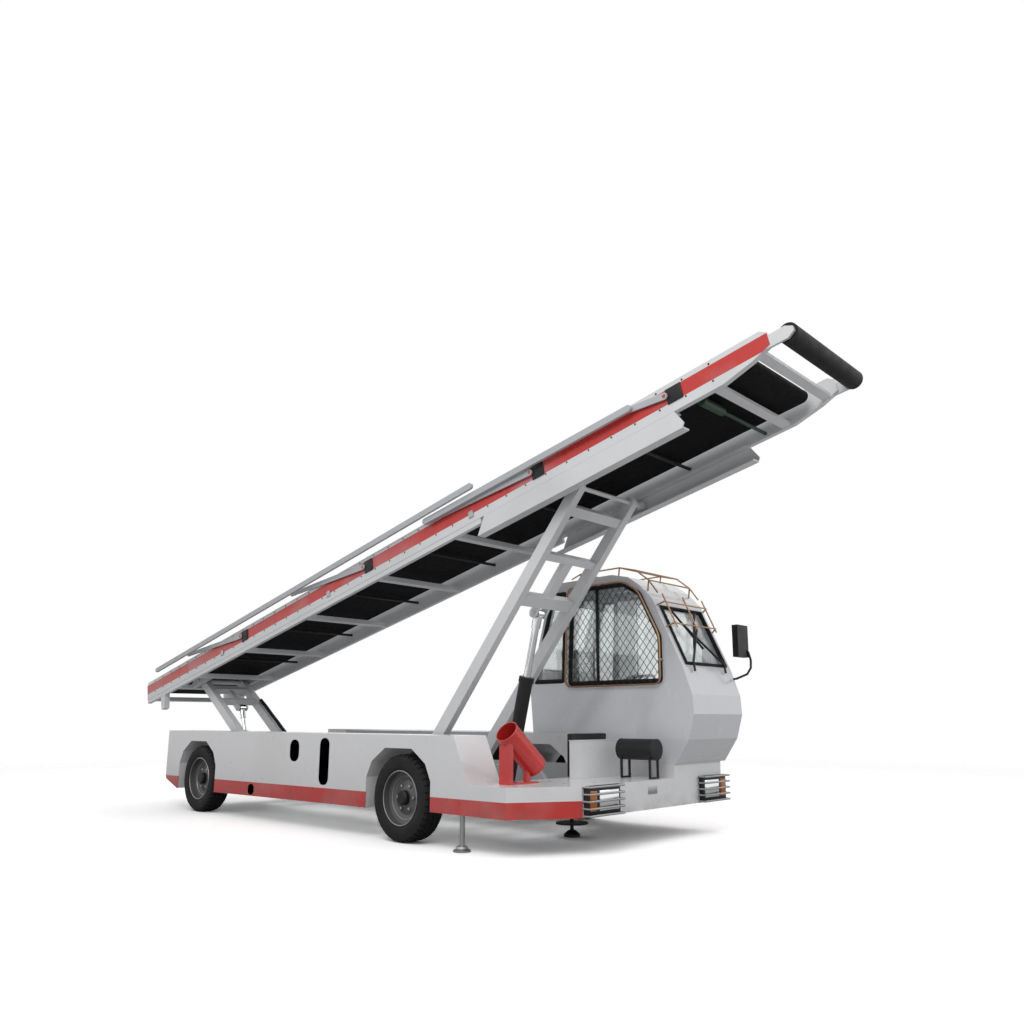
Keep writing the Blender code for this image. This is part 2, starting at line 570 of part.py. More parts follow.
# ---------------------------------------------------------------- boom
def make_boom_frame():
    """Side beams with guards, cross tubes, roller guide rails, pivot brackets and end brackets."""
    pieces = []
    for side in (-1, 1):
        outer, inner = BOOM_Y + side * BOOM_HALF_WIDTH, BOOM_Y + side * (BOOM_HALF_WIDTH - 0.040)
        y_beam = sorted((outer, inner))
        beam = [(BOOM_REAR_U, -0.040), (RAIL_REAR_U + 0.06, -0.040), (RAIL_FRONT_U + 0.3, -0.040),
                (BOOM_FRONT_U - 0.12, 0.0), (BOOM_FRONT_U, 0.04), (BOOM_FRONT_U, GUARD_TOP_W - 0.03),
                (BOOM_FRONT_U - 0.04, GUARD_TOP_W), (BOOM_REAR_U + 0.03, GUARD_TOP_W),
                (BOOM_REAR_U, GUARD_TOP_W - 0.03)]
        pieces.append(boom_prism(beam, *y_beam))
        y_low_rail = sorted((outer - side * 0.003, inner + side * 0.002))
        pieces.append(boom_box((BOOM_REAR_U + 0.002, RAIL_REAR_U + 0.05), (BEAM_FOOT_W, -0.03), y_low_rail))
        y_rail = sorted((outer - side * 0.001, BOOM_Y + side * 0.390))
        rail = [(RAIL_REAR_U, RAIL_FLOOR_W - 0.008), (RAIL_FRONT_U - 0.02, RAIL_FLOOR_W - 0.008),
                (RAIL_FRONT_U, RAIL_FLOOR_W + 0.02), (RAIL_FRONT_U - 0.05, -0.030),
                (RAIL_REAR_U + 0.10, -0.030)]
        guide = boom_prism(rail, *y_rail)
        y_slot = sorted((outer - side * 0.009, BOOM_Y + side * 0.35))
        slot = boom_box((RAIL_REAR_U - 0.1, RAIL_FRONT_U + 0.1), (RAIL_FLOOR_W, RAIL_ROOF_W), y_slot)
        pieces.append(cut(guide, slot))
        y_end = sorted((outer - side * 0.002, outer - side * 0.022))
        bracket = [(BOOM_FRONT_U - 0.10, 0.03), (BOOM_FRONT_U - 0.10, 0.10), (7.082, 0.100), (7.125, 0.075),
                   (7.125, 0.048), (7.082, 0.022)]
        pieces.append(boom_prism(bracket, *y_end))
        y_leg = sorted((outer - side * 0.004, outer - side * 0.058))
        leg = [(-0.50, -0.06), (-0.40, -0.06), (-0.415, -0.225), (-0.485, -0.225)]
        pieces.append(boom_prism(leg, *y_leg))
        y_plate = sorted((BOOM_Y + side * 0.258, BOOM_Y + side * 0.280))
        plate = [(-0.19, -0.072), (0.33, -0.072), (0.33, -0.043), (0.10, 0.012), (-0.10, 0.012),
                 (-0.19, -0.043)]
        pin_plate = boom_prism(plate, *y_plate)
        pieces.append(cut(pin_plate, cross_rod(BOOM_PIN, SHAFT_RADIUS + BORE_SPARE, -0.8, 0.0, 28)))
    y_cross = (BOOM_Y - BOOM_HALF_WIDTH + 0.02, BOOM_Y + BOOM_HALF_WIDTH - 0.02)
    for u in (-0.70, -0.16, 0.30, 1.25, 2.30, 3.35, 4.30):
        pieces.append(boom_box((u - 0.025, u + 0.025), (-0.075, -0.036), y_cross))
    for u, w in ((6.60, -0.030), (6.90, 0.022)):
        pieces.append(boom_box((u - 0.03, u + 0.03), (w - 0.006, w + 0.020), y_cross))
    for u in HANDRAIL_PIVOT_US:
        pin_at = boom_point(u, HANDRAIL_PIVOT_W)
        pieces.append(cross_rod(pin_at, ARM_PIN_RADIUS, BOOM_Y - BOOM_HALF_WIDTH - 0.024, BOOM_Y - 0.45,
                                14))
    node("boom_frame", fuse(*pieces), "white_paint", (BOOM_PIN[0], BOOM_Y, BOOM_PIN[1]))


def belt_outline(radius, rear_u, front_u, centre_w, count=10):
    """Outline of the belt loop: two straight runs and two half circles."""
    points = []
    for centre, start in ((front_u, -90), (rear_u, 90)):
        for step in range(count + 1):
            angle = math.radians(start + 180 * step / count)
            points.append((centre + radius * math.cos(angle), centre_w + radius * math.sin(angle)))
    return points


def make_conveyor():
    """Endless belt, drum motor between its runs, and the rubber end buffer."""
    centre_w, rear_u, front_u = 0.066, -0.74, 6.78
    outer = boom_prism(belt_outline(0.042, rear_u, front_u, centre_w), -0.75, -0.07)
    inner = boom_prism(belt_outline(0.034, rear_u, front_u, centre_w), -0.85, 0.03)
    node("conveyor_belt", cut(outer, inner), "rubber")
    buffer_at = boom_point(7.082, 0.0615)
    node("end_buffer", cross_rod(buffer_at, 0.060, -0.8525, 0.0325, 32), "rubber")
    motor_at = boom_point(6.45, -0.012)
    motor = fuse(cross_rod(motor_at, 0.030, -0.78, -0.54, 24),
                 cross_rod(motor_at, 0.012, -0.8345, 0.0145, 16))
    node("belt_motor", motor, "green_paint")


def swing_arm(name, pivot, tip):
    """Folding arm bored for its pin on the boom."""
    outer = BOOM_Y - BOOM_HALF_WIDTH
    arm = link_plate(pivot, tip, 0.022, 0.018, (outer - 0.021, outer - 0.009), 8)
    bore = cross_rod(pivot, ARM_PIN_RADIUS + BORE_SPARE, outer - 0.05, outer + 0.05, 16)
    node("handrail_" + name, cut(arm, bore), "grey_paint", (pivot[0], outer - 0.015, pivot[1]))


def flat_rail(name, start, end, pivot, gap):
    """Flat rail between two (u, w) points with round ends, a gap outside the boom's side."""
    outer = BOOM_Y - BOOM_HALF_WIDTH
    rail = link_plate(boom_point(*start), boom_point(*end), 0.022, 0.022,
                      (outer - gap - 0.023, outer - gap), 8)
    node("handrail_" + name, rail, "grey_paint", (pivot[0], outer - gap - 0.011, pivot[1]))


def make_handrails():
    """Folding handrails of the right side: two rails on four swinging arms."""
    posts = {"rear_arm": (1.248, 0.19), "middle_arm": (3.229, 0.19), "front_arm": (5.145, 0.138)}
    for name, (u, tip_w) in posts.items():
        swing_arm(name, boom_point(u, HANDRAIL_PIVOT_W), boom_point(u - ARM_REACH, tip_w))
    swing_arm("link", boom_point(6.278, HANDRAIL_PIVOT_W), boom_point(6.03, 0.110))
    flat_rail("rear", (-0.42, 0.19), (4.62, 0.19), boom_point(1.248 - ARM_REACH, 0.19), 0.055)
    flat_rail("front", (4.07, 0.138), (6.03, 0.110), boom_point(5.145 - ARM_REACH, 0.138), 0.027)


# ---------------------------------------------------------------- cab
CAB_PROFILE = [(0.81, BODY_TOP_Z + GAP), (0.775, 1.112), (1.005, 1.93), (1.10, 1.965), (1.66, 1.975),
               (1.82, 1.94),
               (1.93, 1.865), (2.045, 1.75), (2.300, 1.22), (2.372, 1.02), (2.382, 0.88), (2.330, 0.70),
               (2.212, CAB_FOOT_Z), (1.3225, CAB_FOOT_Z), (1.2525, BODY_TOP_Z + GAP)]


def inset(outline, distance):
    """Outline moved inwards by a distance; the outline runs clockwise seen with its first axis right."""
    count = len(outline)
    moved = []
    for index in range(count):
        before, here, after = (Vector(outline[(index + step) % count]) for step in (-1, 0, 1))
        first, second = (here - before).normalized(), (after - here).normalized()
        normal_a, normal_b = Vector((first.y, -first.x)), Vector((second.y, -second.x))
        bisector = (normal_a + normal_b).normalized()
        moved.append(tuple(here + bisector * (distance / max(bisector.dot(normal_a), 0.3))))
    return moved


SIDE_WINDOW = [(1.22, 1.125), (2.105, 1.125), (2.105, 1.45), (1.925, 1.80), (1.775, 1.885), (1.25, 1.885)]
QUARTER_WINDOW = [(0.83, 1.15), (1.15, 1.15), (1.18, 1.87), (1.045, 1.87)]
DOOR_OPENING = [(1.335, 0.60), (2.13, 0.60), (2.13, 1.42), (1.93, 1.80), (1.78, 1.90), (1.335, 1.90)]
DOOR_WINDOW = [(1.40, 1.08), (2.06, 1.08), (2.06, 1.40), (1.88, 1.75), (1.755, 1.83), (1.40, 1.83)]


def panel_opening(low, high, y_low, y_high):
    """Opening cut square through a sloping front or rear panel between two side-view points."""
    return bar(low, high, 0.12, y_low, y_high)


def make_cab():
    """Hollow cab shell with its windows cut, the glass, the door, seat, steering wheel and mirror."""
    shell = prism(CAB_PROFILE, "Y", CAB_RIGHT_Y, CAB_LEFT_Y)
    room = prism(inset(CAB_PROFILE, CAB_WALL), "Y", CAB_RIGHT_Y + CAB_WALL, CAB_LEFT_Y - CAB_WALL)
    side = prism(SIDE_WINDOW, "Y", 0.2, CAB_RIGHT_Y + 0.1)
    quarters = prism(QUARTER_WINDOW, "Y", 0.2, 1.3)
    door_gap = prism(DOOR_OPENING, "Y", CAB_LEFT_Y - 0.1, 1.3)
    front = panel_opening((2.075, 1.6877), (2.2856, 1.25), 0.44, 1.0)
    rear = panel_opening((0.815, 1.2543), (0.975, 1.8233), 0.45, 0.99)
    node("cab_shell", cut(shell, room, side, quarters, door_gap, front, rear), "white_paint")
    make_glass()
    make_door()
    make_cab_fittings()


def make_glass():
    """Panes, each lying in the middle of its panel with a hair of room round it."""
    hair = 0.001
    mid = CAB_WALL / 2
    panes = {"side_glass": (SIDE_WINDOW, CAB_RIGHT_Y + 0.012),
             "door_glass": (DOOR_WINDOW, CAB_LEFT_Y - 0.020)}
    for name, (outline, y_low) in panes.items():
        pivot = (DOOR_HINGE if name == "door_glass" else None)
        pane = prism(inset(list(reversed(outline)), hair), "Y", y_low, y_low + 0.006)
        node(name, pane, "glass", pivot)
    for name, y_low in (("quarter_glass_right", CAB_RIGHT_Y + 0.012),
                        ("quarter_glass_left", CAB_LEFT_Y - 0.018)):
        node(name, prism(inset(list(reversed(QUARTER_WINDOW)), hair), "Y", y_low, y_low + 0.006), "glass")
    sheets = {"windshield": ((2.075, 1.6877), (2.2856, 1.25), 0.44, 1.0, -1),
              "rear_glass": ((0.815, 1.2543), (0.975, 1.8233), 0.45, 0.99, -1)}
    for name, (low, high, y_low, y_high, way) in sheets.items():
        a, b = Vector(low), Vector(high)
        along = (b - a).normalized()
        across = Vector((-along.y, along.x)) * way
        a, b = a + along * hair + across * mid, b - along * hair + across * mid
        node(name, bar(a, b, 0.003, y_low + hair, y_high - hair), "glass")


DOOR_HINGE = (1.353, CAB_LEFT_Y + 0.004, 1.25)


def make_door():
    """Left door with its window cut, a grab handle inside and two hinge knuckles on the rear edge."""
    spare = 0.006
    leaf = prism(inset(list(reversed(DOOR_OPENING)), spare), "Y", CAB_LEFT_Y - CAB_WALL + 0.002, CAB_LEFT_Y)
    leaf = cut(leaf, prism(DOOR_WINDOW, "Y", CAB_LEFT_Y - 0.1, 1.3))
    x, y = DOOR_HINGE[:2]
    knuckles = [rod((x, y, z), (x, y, z + 0.09), 0.009, 14) for z in (0.78, 1.62)]
    node("cab_door", fuse(leaf, *knuckles), "white_paint", DOOR_HINGE)


def make_cab_fittings():
    """Driver's seat, steering column with its wheel, and the mirror on its looped bracket."""
    cushion = [(1.00, 0.80), (1.44, 0.80), (1.47, 0.84), (1.46, 0.905), (1.14, 0.895), (1.04, 1.45),
               (0.985, 1.47),
               (0.945, 1.44), (0.985, 0.86)]
    seat = prism(list(reversed(cushion)), "Y", 0.50, 0.94)
    bevel = seat.modifiers.new("round", "BEVEL")
    bevel.width = 0.025
    bevel.segments = 2
    node("driver_seat", seat, "fabric")
    pedestal = box((1.00, 1.22), (0.58, 0.86), (0.7715, 0.7995))
    node("seat_base", pedestal, "black_paint")
    top, foot = Vector((1.62, 0.72, 1.12)), Vector((1.86, 0.72, 0.583))
    axis = (top - foot).normalized()
    column = lathe([(0, 0), (0, 0.05), (0.02, 0.05), (0.03, 0.022), ((top - foot).length + 0.01, 0.022),
                    ((top - foot).length + 0.01, 0)], foot, top, 20)
    rim = lathe([(0.012 * math.sin(a), 0.165 + 0.012 * math.cos(a)) for a in
                 (2 * math.pi * step / 8 for step in range(8))], top, top + axis, 32, closed=True)
    side, up = frame_along(axis)
    spokes = [rod(top - v * 0.165, top + v * 0.165, 0.008, 10) for v in (side, up)]
    node("steering_wheel", fuse(column, rim, *spokes), "black_paint")
    head = box((2.375, 2.425), (0.975, 1.135), (1.32, 1.57))
    loop = bent_tube([(2.338, 1.03, 1.150), (2.36, 1.045, 1.155), (2.42, 1.105, 1.19), (2.44, 1.13, 1.24),
                      (2.44, 1.135, 1.30), (2.43, 1.12, 1.36), (2.41, 1.09, 1.40)], 0.009, 10)
    node("cab_mirror", fuse(head, loop), "black_paint")


def make_hoses():
    """Hydraulic hose bundle clipped along the rear lift frame's left arm."""
    points = []
    for reach, lift in ((1.08, 0.068), (0.95, 0.072), (0.80, 0.070), (0.66, 0.073), (0.54, 0.071),
                        (0.42, 0.075)):
        x, z = towards(REAR_PIVOT, BOOM_PIN, reach)
        points.append((x + lift * 0.544, -0.195, z + lift * 0.839))
    node("hose_bundle", bent_tube(points, 0.018, 12), "rubber")


def main():
    """Clear the scene and build every sub-part."""
    for old in list(bpy.data.objects):
        bpy.data.objects.remove(old)
    for label, x, side in (("front_right", FRONT_AXLE_X, -1), ("front_left", FRONT_AXLE_X, 1),
                           ("rear_right", REAR_AXLE_X, -1), ("rear_left", REAR_AXLE_X, 1)):
        make_wheel(label, x, side)
    for label, side in (("right", -1), ("left", 1)):
        make_knuckle(label, side)
    make_front_axle()
    make_rear_axle()
    make_chassis_frame()
    make_right_body_side()
    make_left_body_side()
    make_front_deck()
    make_body_fittings()
    make_deck_equipment()
    make_front_lift_frame()
    make_rear_lift_frame()
    make_cylinder("front_cylinder", FRONT_BASE, FRONT_EYE, 0.050, 0.84, 0.026)
    make_cylinder("rear_cylinder", REAR_BASE, REAR_EYE, 0.040, 0.53, 0.020)
    make_boom_frame()
    make_conveyor()
    make_handrails()
    make_cab()
    make_hoses()


main()
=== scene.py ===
"""Baggage belt loader: finishes, trim and studio round the fixed frame."""

import json
import logging
import math
from dataclasses import dataclass
from enum import Enum
from typing import Callable, Sequence

import bpy
from mathutils import Matrix, Vector


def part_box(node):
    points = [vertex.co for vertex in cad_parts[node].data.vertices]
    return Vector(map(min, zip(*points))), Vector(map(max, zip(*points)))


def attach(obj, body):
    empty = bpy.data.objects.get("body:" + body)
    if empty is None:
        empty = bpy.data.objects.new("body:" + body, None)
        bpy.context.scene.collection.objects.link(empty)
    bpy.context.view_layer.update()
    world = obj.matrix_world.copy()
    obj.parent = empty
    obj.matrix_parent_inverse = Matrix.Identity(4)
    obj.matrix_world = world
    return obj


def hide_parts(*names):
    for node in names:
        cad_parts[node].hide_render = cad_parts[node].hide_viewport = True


log = logging.getLogger("belt_loader")
Point = tuple[float, float, float]

HALF_WIDTH = 1.075
FACE_X = 2.196
DECK_Z = 0.427
BODY_TOP_Z = 0.735
BOOM_Y = -0.41
BOOM_HALF_WIDTH = 0.465
BOOM_PITCH = math.radians(12.87)
BOOM_ORIGIN = (-3.055, 1.271)
RED_BAND = (0.58, 0.030, 0.025)
BODY_BAND_TOP = 0.3235
BODY_BAND_SLOPE = 0.0066
BODY_BAND_SKIN = 0.004
CORNER_NORMAL = (0.8246, 0.5659)
CORNER_REACH = 2.1875
BOOM_BAND = (0.021, 0.116)
BOOM_BAND_SKIN = 0.0015


class Surface(Enum):
    """The finishes by name."""

    BODY = "body paint"
    BOOM = "boom paint"
    LIFT = "lift paint"
    CAB = "cab paint"
    GREY = "grey paint"
    RED = "red paint"
    BLACK = "black paint"
    STEEL = "steel"
    RIM = "rim steel"
    COPPER = "coppery wire"
    CHROME = "chrome"
    RUBBER = "rubber"
    TYRE = "tyre rubber"
    BELT = "belt rubber"
    GLASS = "glass"
    AMBER = "amber lens"
    GREEN = "green paint"
    CLOTH = "cloth"

    @property
    def slot(self) -> str:
        """Slot name in the record."""
        return SLOTS[self]


SLOTS: dict[Surface, str] = {
    Surface.BODY: "white_paint", Surface.BOOM: "white_paint", Surface.LIFT: "white_paint",
    Surface.CAB: "white_paint", Surface.GREY: "grey_paint", Surface.RED: "red_paint",
    Surface.BLACK: "black_paint", Surface.STEEL: "steel", Surface.RIM: "steel", Surface.COPPER: "steel",
    Surface.CHROME: "chrome", Surface.RUBBER: "rubber", Surface.TYRE: "rubber", Surface.BELT: "rubber",
    Surface.GLASS: "glass", Surface.AMBER: "glass", Surface.GREEN: "green_paint", Surface.CLOTH: "fabric",
}


@dataclass(frozen=True)
class Finish:
    """Colours and roughness of one finish, in linear values."""

    colour: tuple[float, float, float]
    worn: tuple[float, float, float]
    roughness: float
    spread: float = 0.08
    metallic: float = 0.0
    grain: float = 60.0
    bump: float = 0.0004
    patches: float = 1.6
    amount: float = 0.35
    coat: float = 0.0
    transmission: float = 0.0
    specular: float = 0.5
    stripe: str = ""


FINISHES: dict[Surface, Finish] = {
    Surface.BODY: Finish((0.78, 0.785, 0.80), (0.60, 0.60, 0.60), 0.34, amount=0.30, coat=0.4, stripe="body"),
    Surface.BOOM: Finish((0.74, 0.75, 0.77), (0.52, 0.52, 0.53), 0.38, amount=0.40, coat=0.2, stripe="boom"),
    Surface.LIFT: Finish((0.74, 0.75, 0.77), (0.48, 0.48, 0.49), 0.40, amount=0.45, coat=0.2),
    Surface.CAB: Finish((0.70, 0.72, 0.75), (0.60, 0.61, 0.63), 0.22, amount=0.15, coat=0.7),
    Surface.GREY: Finish((0.50, 0.52, 0.54), (0.36, 0.37, 0.38), 0.42, amount=0.40),
    Surface.RED: Finish((0.60, 0.035, 0.03), (0.36, 0.03, 0.03), 0.32, amount=0.35, coat=0.3),
    Surface.BLACK: Finish((0.012, 0.012, 0.013), (0.03, 0.029, 0.028), 0.45, amount=0.35, specular=0.3),
    Surface.STEEL: Finish((0.42, 0.42, 0.43), (0.20, 0.19, 0.18), 0.36, metallic=0.9, amount=0.55),
    Surface.RIM: Finish((0.115, 0.115, 0.120), (0.20, 0.19, 0.18), 0.45, metallic=0.3, amount=0.5),
    Surface.COPPER: Finish((0.42, 0.25, 0.15), (0.25, 0.16, 0.11), 0.40, metallic=0.7, amount=0.45),
    Surface.CHROME: Finish((0.82, 0.83, 0.84), (0.68, 0.68, 0.69), 0.12, spread=0.04, metallic=1.0,
                           amount=0.2),
    Surface.RUBBER: Finish((0.012, 0.012, 0.012), (0.030, 0.029, 0.027), 0.72, bump=0.0006, amount=0.4,
                           specular=0.25),
    Surface.TYRE: Finish((0.016, 0.016, 0.017), (0.045, 0.040, 0.037), 0.80, bump=0.0010, amount=0.5,
                         specular=0.3),
    Surface.BELT: Finish((0.005, 0.005, 0.005), (0.012, 0.012, 0.012), 0.75, grain=140.0, bump=0.0008,
                         specular=0.12),
    Surface.GLASS: Finish((0.80, 0.86, 0.86), (0.72, 0.78, 0.78), 0.04, spread=0.02, amount=0.2,
                          transmission=0.92),
    Surface.AMBER: Finish((0.80, 0.22, 0.02), (0.60, 0.15, 0.02), 0.12, spread=0.04, transmission=0.35),
    Surface.GREEN: Finish((0.015, 0.050, 0.025), (0.012, 0.025, 0.018), 0.50, amount=0.5),
    Surface.CLOTH: Finish((0.028, 0.028, 0.032), (0.05, 0.05, 0.055), 0.90, grain=900.0, bump=0.0012),
}


class Palette:
    """Makes each finish's material once."""

    def __init__(self) -> None:
        """Start with no materials."""
        self.made: dict[Surface, bpy.types.Material] = {}

    def get(self, surface: Surface) -> bpy.types.Material:
        """Material of a surface.

        Args:
            surface: the finish that is wanted.

        Returns:
            Its material, made on first use.
        """
        if surface not in self.made:
            self.made[surface] = self.build(surface.name.lower(), FINISHES[surface])
        return self.made[surface]

    def build(self, name: str, finish: Finish) -> bpy.types.Material:
        """Build the node tree of one finish.

        Args:
            name: name of the material.
            finish: its colours and roughness.

        Returns:
            The finished material.
        """
        material = bpy.data.materials.new("finish_" + name)
        material.use_nodes = True
        tree = material.node_tree
        shader = tree.nodes["Principled BSDF"]
        place = tree.nodes.new("ShaderNodeTexCoord").outputs["Object"]

        def noise(scale: float, detail: float) -> bpy.types.NodeSocket:
            """Noise on the piece's own place."""
            texture = tree.nodes.new("ShaderNodeTexNoise")
            texture.inputs["Scale"].default_value = scale
            texture.inputs["Detail"].default_value = detail
            tree.links.new(place, texture.inputs["Vector"])
            return texture.outputs["Fac"]

        def spread(value: bpy.types.NodeSocket, low: float, high: float, to_low: float,
                   to_high: float) -> bpy.types.NodeSocket:
            """Map a range of a value onto another."""
            node = tree.nodes.new("ShaderNodeMapRange")
            keys = ("From Min", "From Max", "To Min", "To Max")
            for key, number in zip(keys, (low, high, to_low, to_high)):
                node.inputs[key].default_value = number
            tree.links.new(value, node.inputs["Value"])
            return node.outputs["Result"]

        def calc(kind: str, *values: bpy.types.NodeSocket | float) -> bpy.types.NodeSocket:
            """One arithmetic step on sockets or numbers."""
            node = tree.nodes.new("ShaderNodeMath")
            node.operation = kind
            for index, value in enumerate(values):
                if isinstance(value, (int, float)):
                    node.inputs[index].default_value = value
                else:
                    tree.links.new(value, node.inputs[index])
            return node.outputs["Value"]

        def mix(factor: bpy.types.NodeSocket, first: object, second: object) -> bpy.types.NodeSocket:
            """Blend two colours, each a socket or three numbers."""
            node = tree.nodes.new("ShaderNodeMix")
            node.data_type = "RGBA"
            tree.links.new(factor, node.inputs["Factor"])
            for socket, value in ((node.inputs[6], first), (node.inputs[7], second)):
                if isinstance(value, bpy.types.NodeSocket):
                    tree.links.new(value, socket)
                else:
                    socket.default_value = (*value, 1.0)
            return node.outputs[2]

        worn = spread(noise(finish.patches, 6.0), 0.48, 0.78, 0.0, finish.amount)
        base: object = finish.colour
        if finish.stripe:
            base = mix(self.stripe_mask(tree, place, calc, finish.stripe), finish.colour, RED_BAND)
        colour = mix(worn, base, finish.worn)
        specks = spread(noise(finish.patches * 14.0, 3.0), 0.70, 0.80, 0.0, finish.amount * 0.12)
        colour = mix(specks, colour, finish.worn)
        # Painted shade: the body paint darkens towards its foot, up to 0.45 of a dark brown-grey below 0.20 m
        # and none above 0.34 m, broken up by noise.
        if finish.stripe == "body":
            height = tree.nodes.new("ShaderNodeSeparateXYZ")
            tree.links.new(place, height.inputs[0])
            low = spread(height.outputs["Z"], 0.20, 0.34, 0.45, 0.0)
            low_painted_shade = calc("MULTIPLY", low, spread(noise(9.0, 5.0), 0.42, 0.70, 0.0, 1.0))
            colour = mix(low_painted_shade, colour, (0.16, 0.14, 0.125))
        tree.links.new(colour, shader.inputs["Base Color"])
        rough = spread(noise(finish.grain * 0.2, 4.0), 0.3, 0.7, finish.roughness - finish.spread,
                       finish.roughness + finish.spread)
        tree.links.new(rough, shader.inputs["Roughness"])
        bump = tree.nodes.new("ShaderNodeBump")
        bump.inputs["Strength"].default_value = 0.6
        bump.inputs["Distance"].default_value = finish.bump
        tree.links.new(noise(finish.grain, 3.0), bump.inputs["Height"])
        tree.links.new(bump.outputs["Normal"], shader.inputs["Normal"])
        shader.inputs["Metallic"].default_value = finish.metallic
        shader.inputs["Coat Weight"].default_value = finish.coat
        shader.inputs["Coat Roughness"].default_value = 0.12
        shader.inputs["Specular IOR Level"].default_value = finish.specular
        shader.inputs["Transmission Weight"].default_value = finish.transmission
        if finish.transmission > 0.5:
            shader.inputs["Alpha"].default_value = 0.45
        return material

    def stripe_mask(self, tree: bpy.types.NodeTree, place: bpy.types.NodeSocket, calc: Callable,
                    kind: str) -> bpy.types.NodeSocket:
        """Mask that is 1 on the red band.

        Args:
            tree: tree of the material.
            place: the piece's own coordinates.
            calc: arithmetic helper of the material.
            kind: "body" for the low band, "boom" for the band along the guards.

        Returns:
            Socket of the mask.
        """
        axes = tree.nodes.new("ShaderNodeSeparateXYZ")
        tree.links.new(place, axes.inputs[0])
        x, y, z = (axes.outputs[key] for key in "XYZ")
        if kind == "body":
            line = calc("ADD", calc("MULTIPLY", x, BODY_BAND_SLOPE), BODY_BAND_TOP)
            below = calc("LESS_THAN", calc("SUBTRACT", z, line), 0.0)
            outside = calc("GREATER_THAN", calc("ABSOLUTE", y), HALF_WIDTH - BODY_BAND_SKIN)
            ahead, aside = (calc("MULTIPLY", axis, share) for axis, share in zip((x, y), CORNER_NORMAL))
            corner = calc("GREATER_THAN", calc("SUBTRACT", ahead, aside), CORNER_REACH)
            return calc("MULTIPLY", below, calc("MAXIMUM", outside, corner))
        along = calc("MULTIPLY", calc("SUBTRACT", x, BOOM_ORIGIN[0]), -math.sin(BOOM_PITCH))
        above = calc("MULTIPLY", calc("SUBTRACT", z, BOOM_ORIGIN[1]), math.cos(BOOM_PITCH))
        square = calc("ADD", along, above)
        low, high = BOOM_BAND
        inside = calc("MULTIPLY", calc("GREATER_THAN", square, low), calc("LESS_THAN", square, high))
        reach = calc("ABSOLUTE", calc("SUBTRACT", y, BOOM_Y))
        return calc("MULTIPLY", inside, calc("GREATER_THAN", reach, BOOM_HALF_WIDTH - BOOM_BAND_SKIN))


def boom_point(u: float, w: float, y: float) -> Point:
    """Place in the frame of a point given along and square to the boom.

    Args:
        u: metres along the boom.
        w: metres square to it.
        y: metres across the machine.

    Returns:
        The point (x, y, z).
    """
    c, s = math.cos(BOOM_PITCH), math.sin(BOOM_PITCH)
    return (BOOM_ORIGIN[0] + u * c - w * s, y, BOOM_ORIGIN[1] + u * s + w * c)


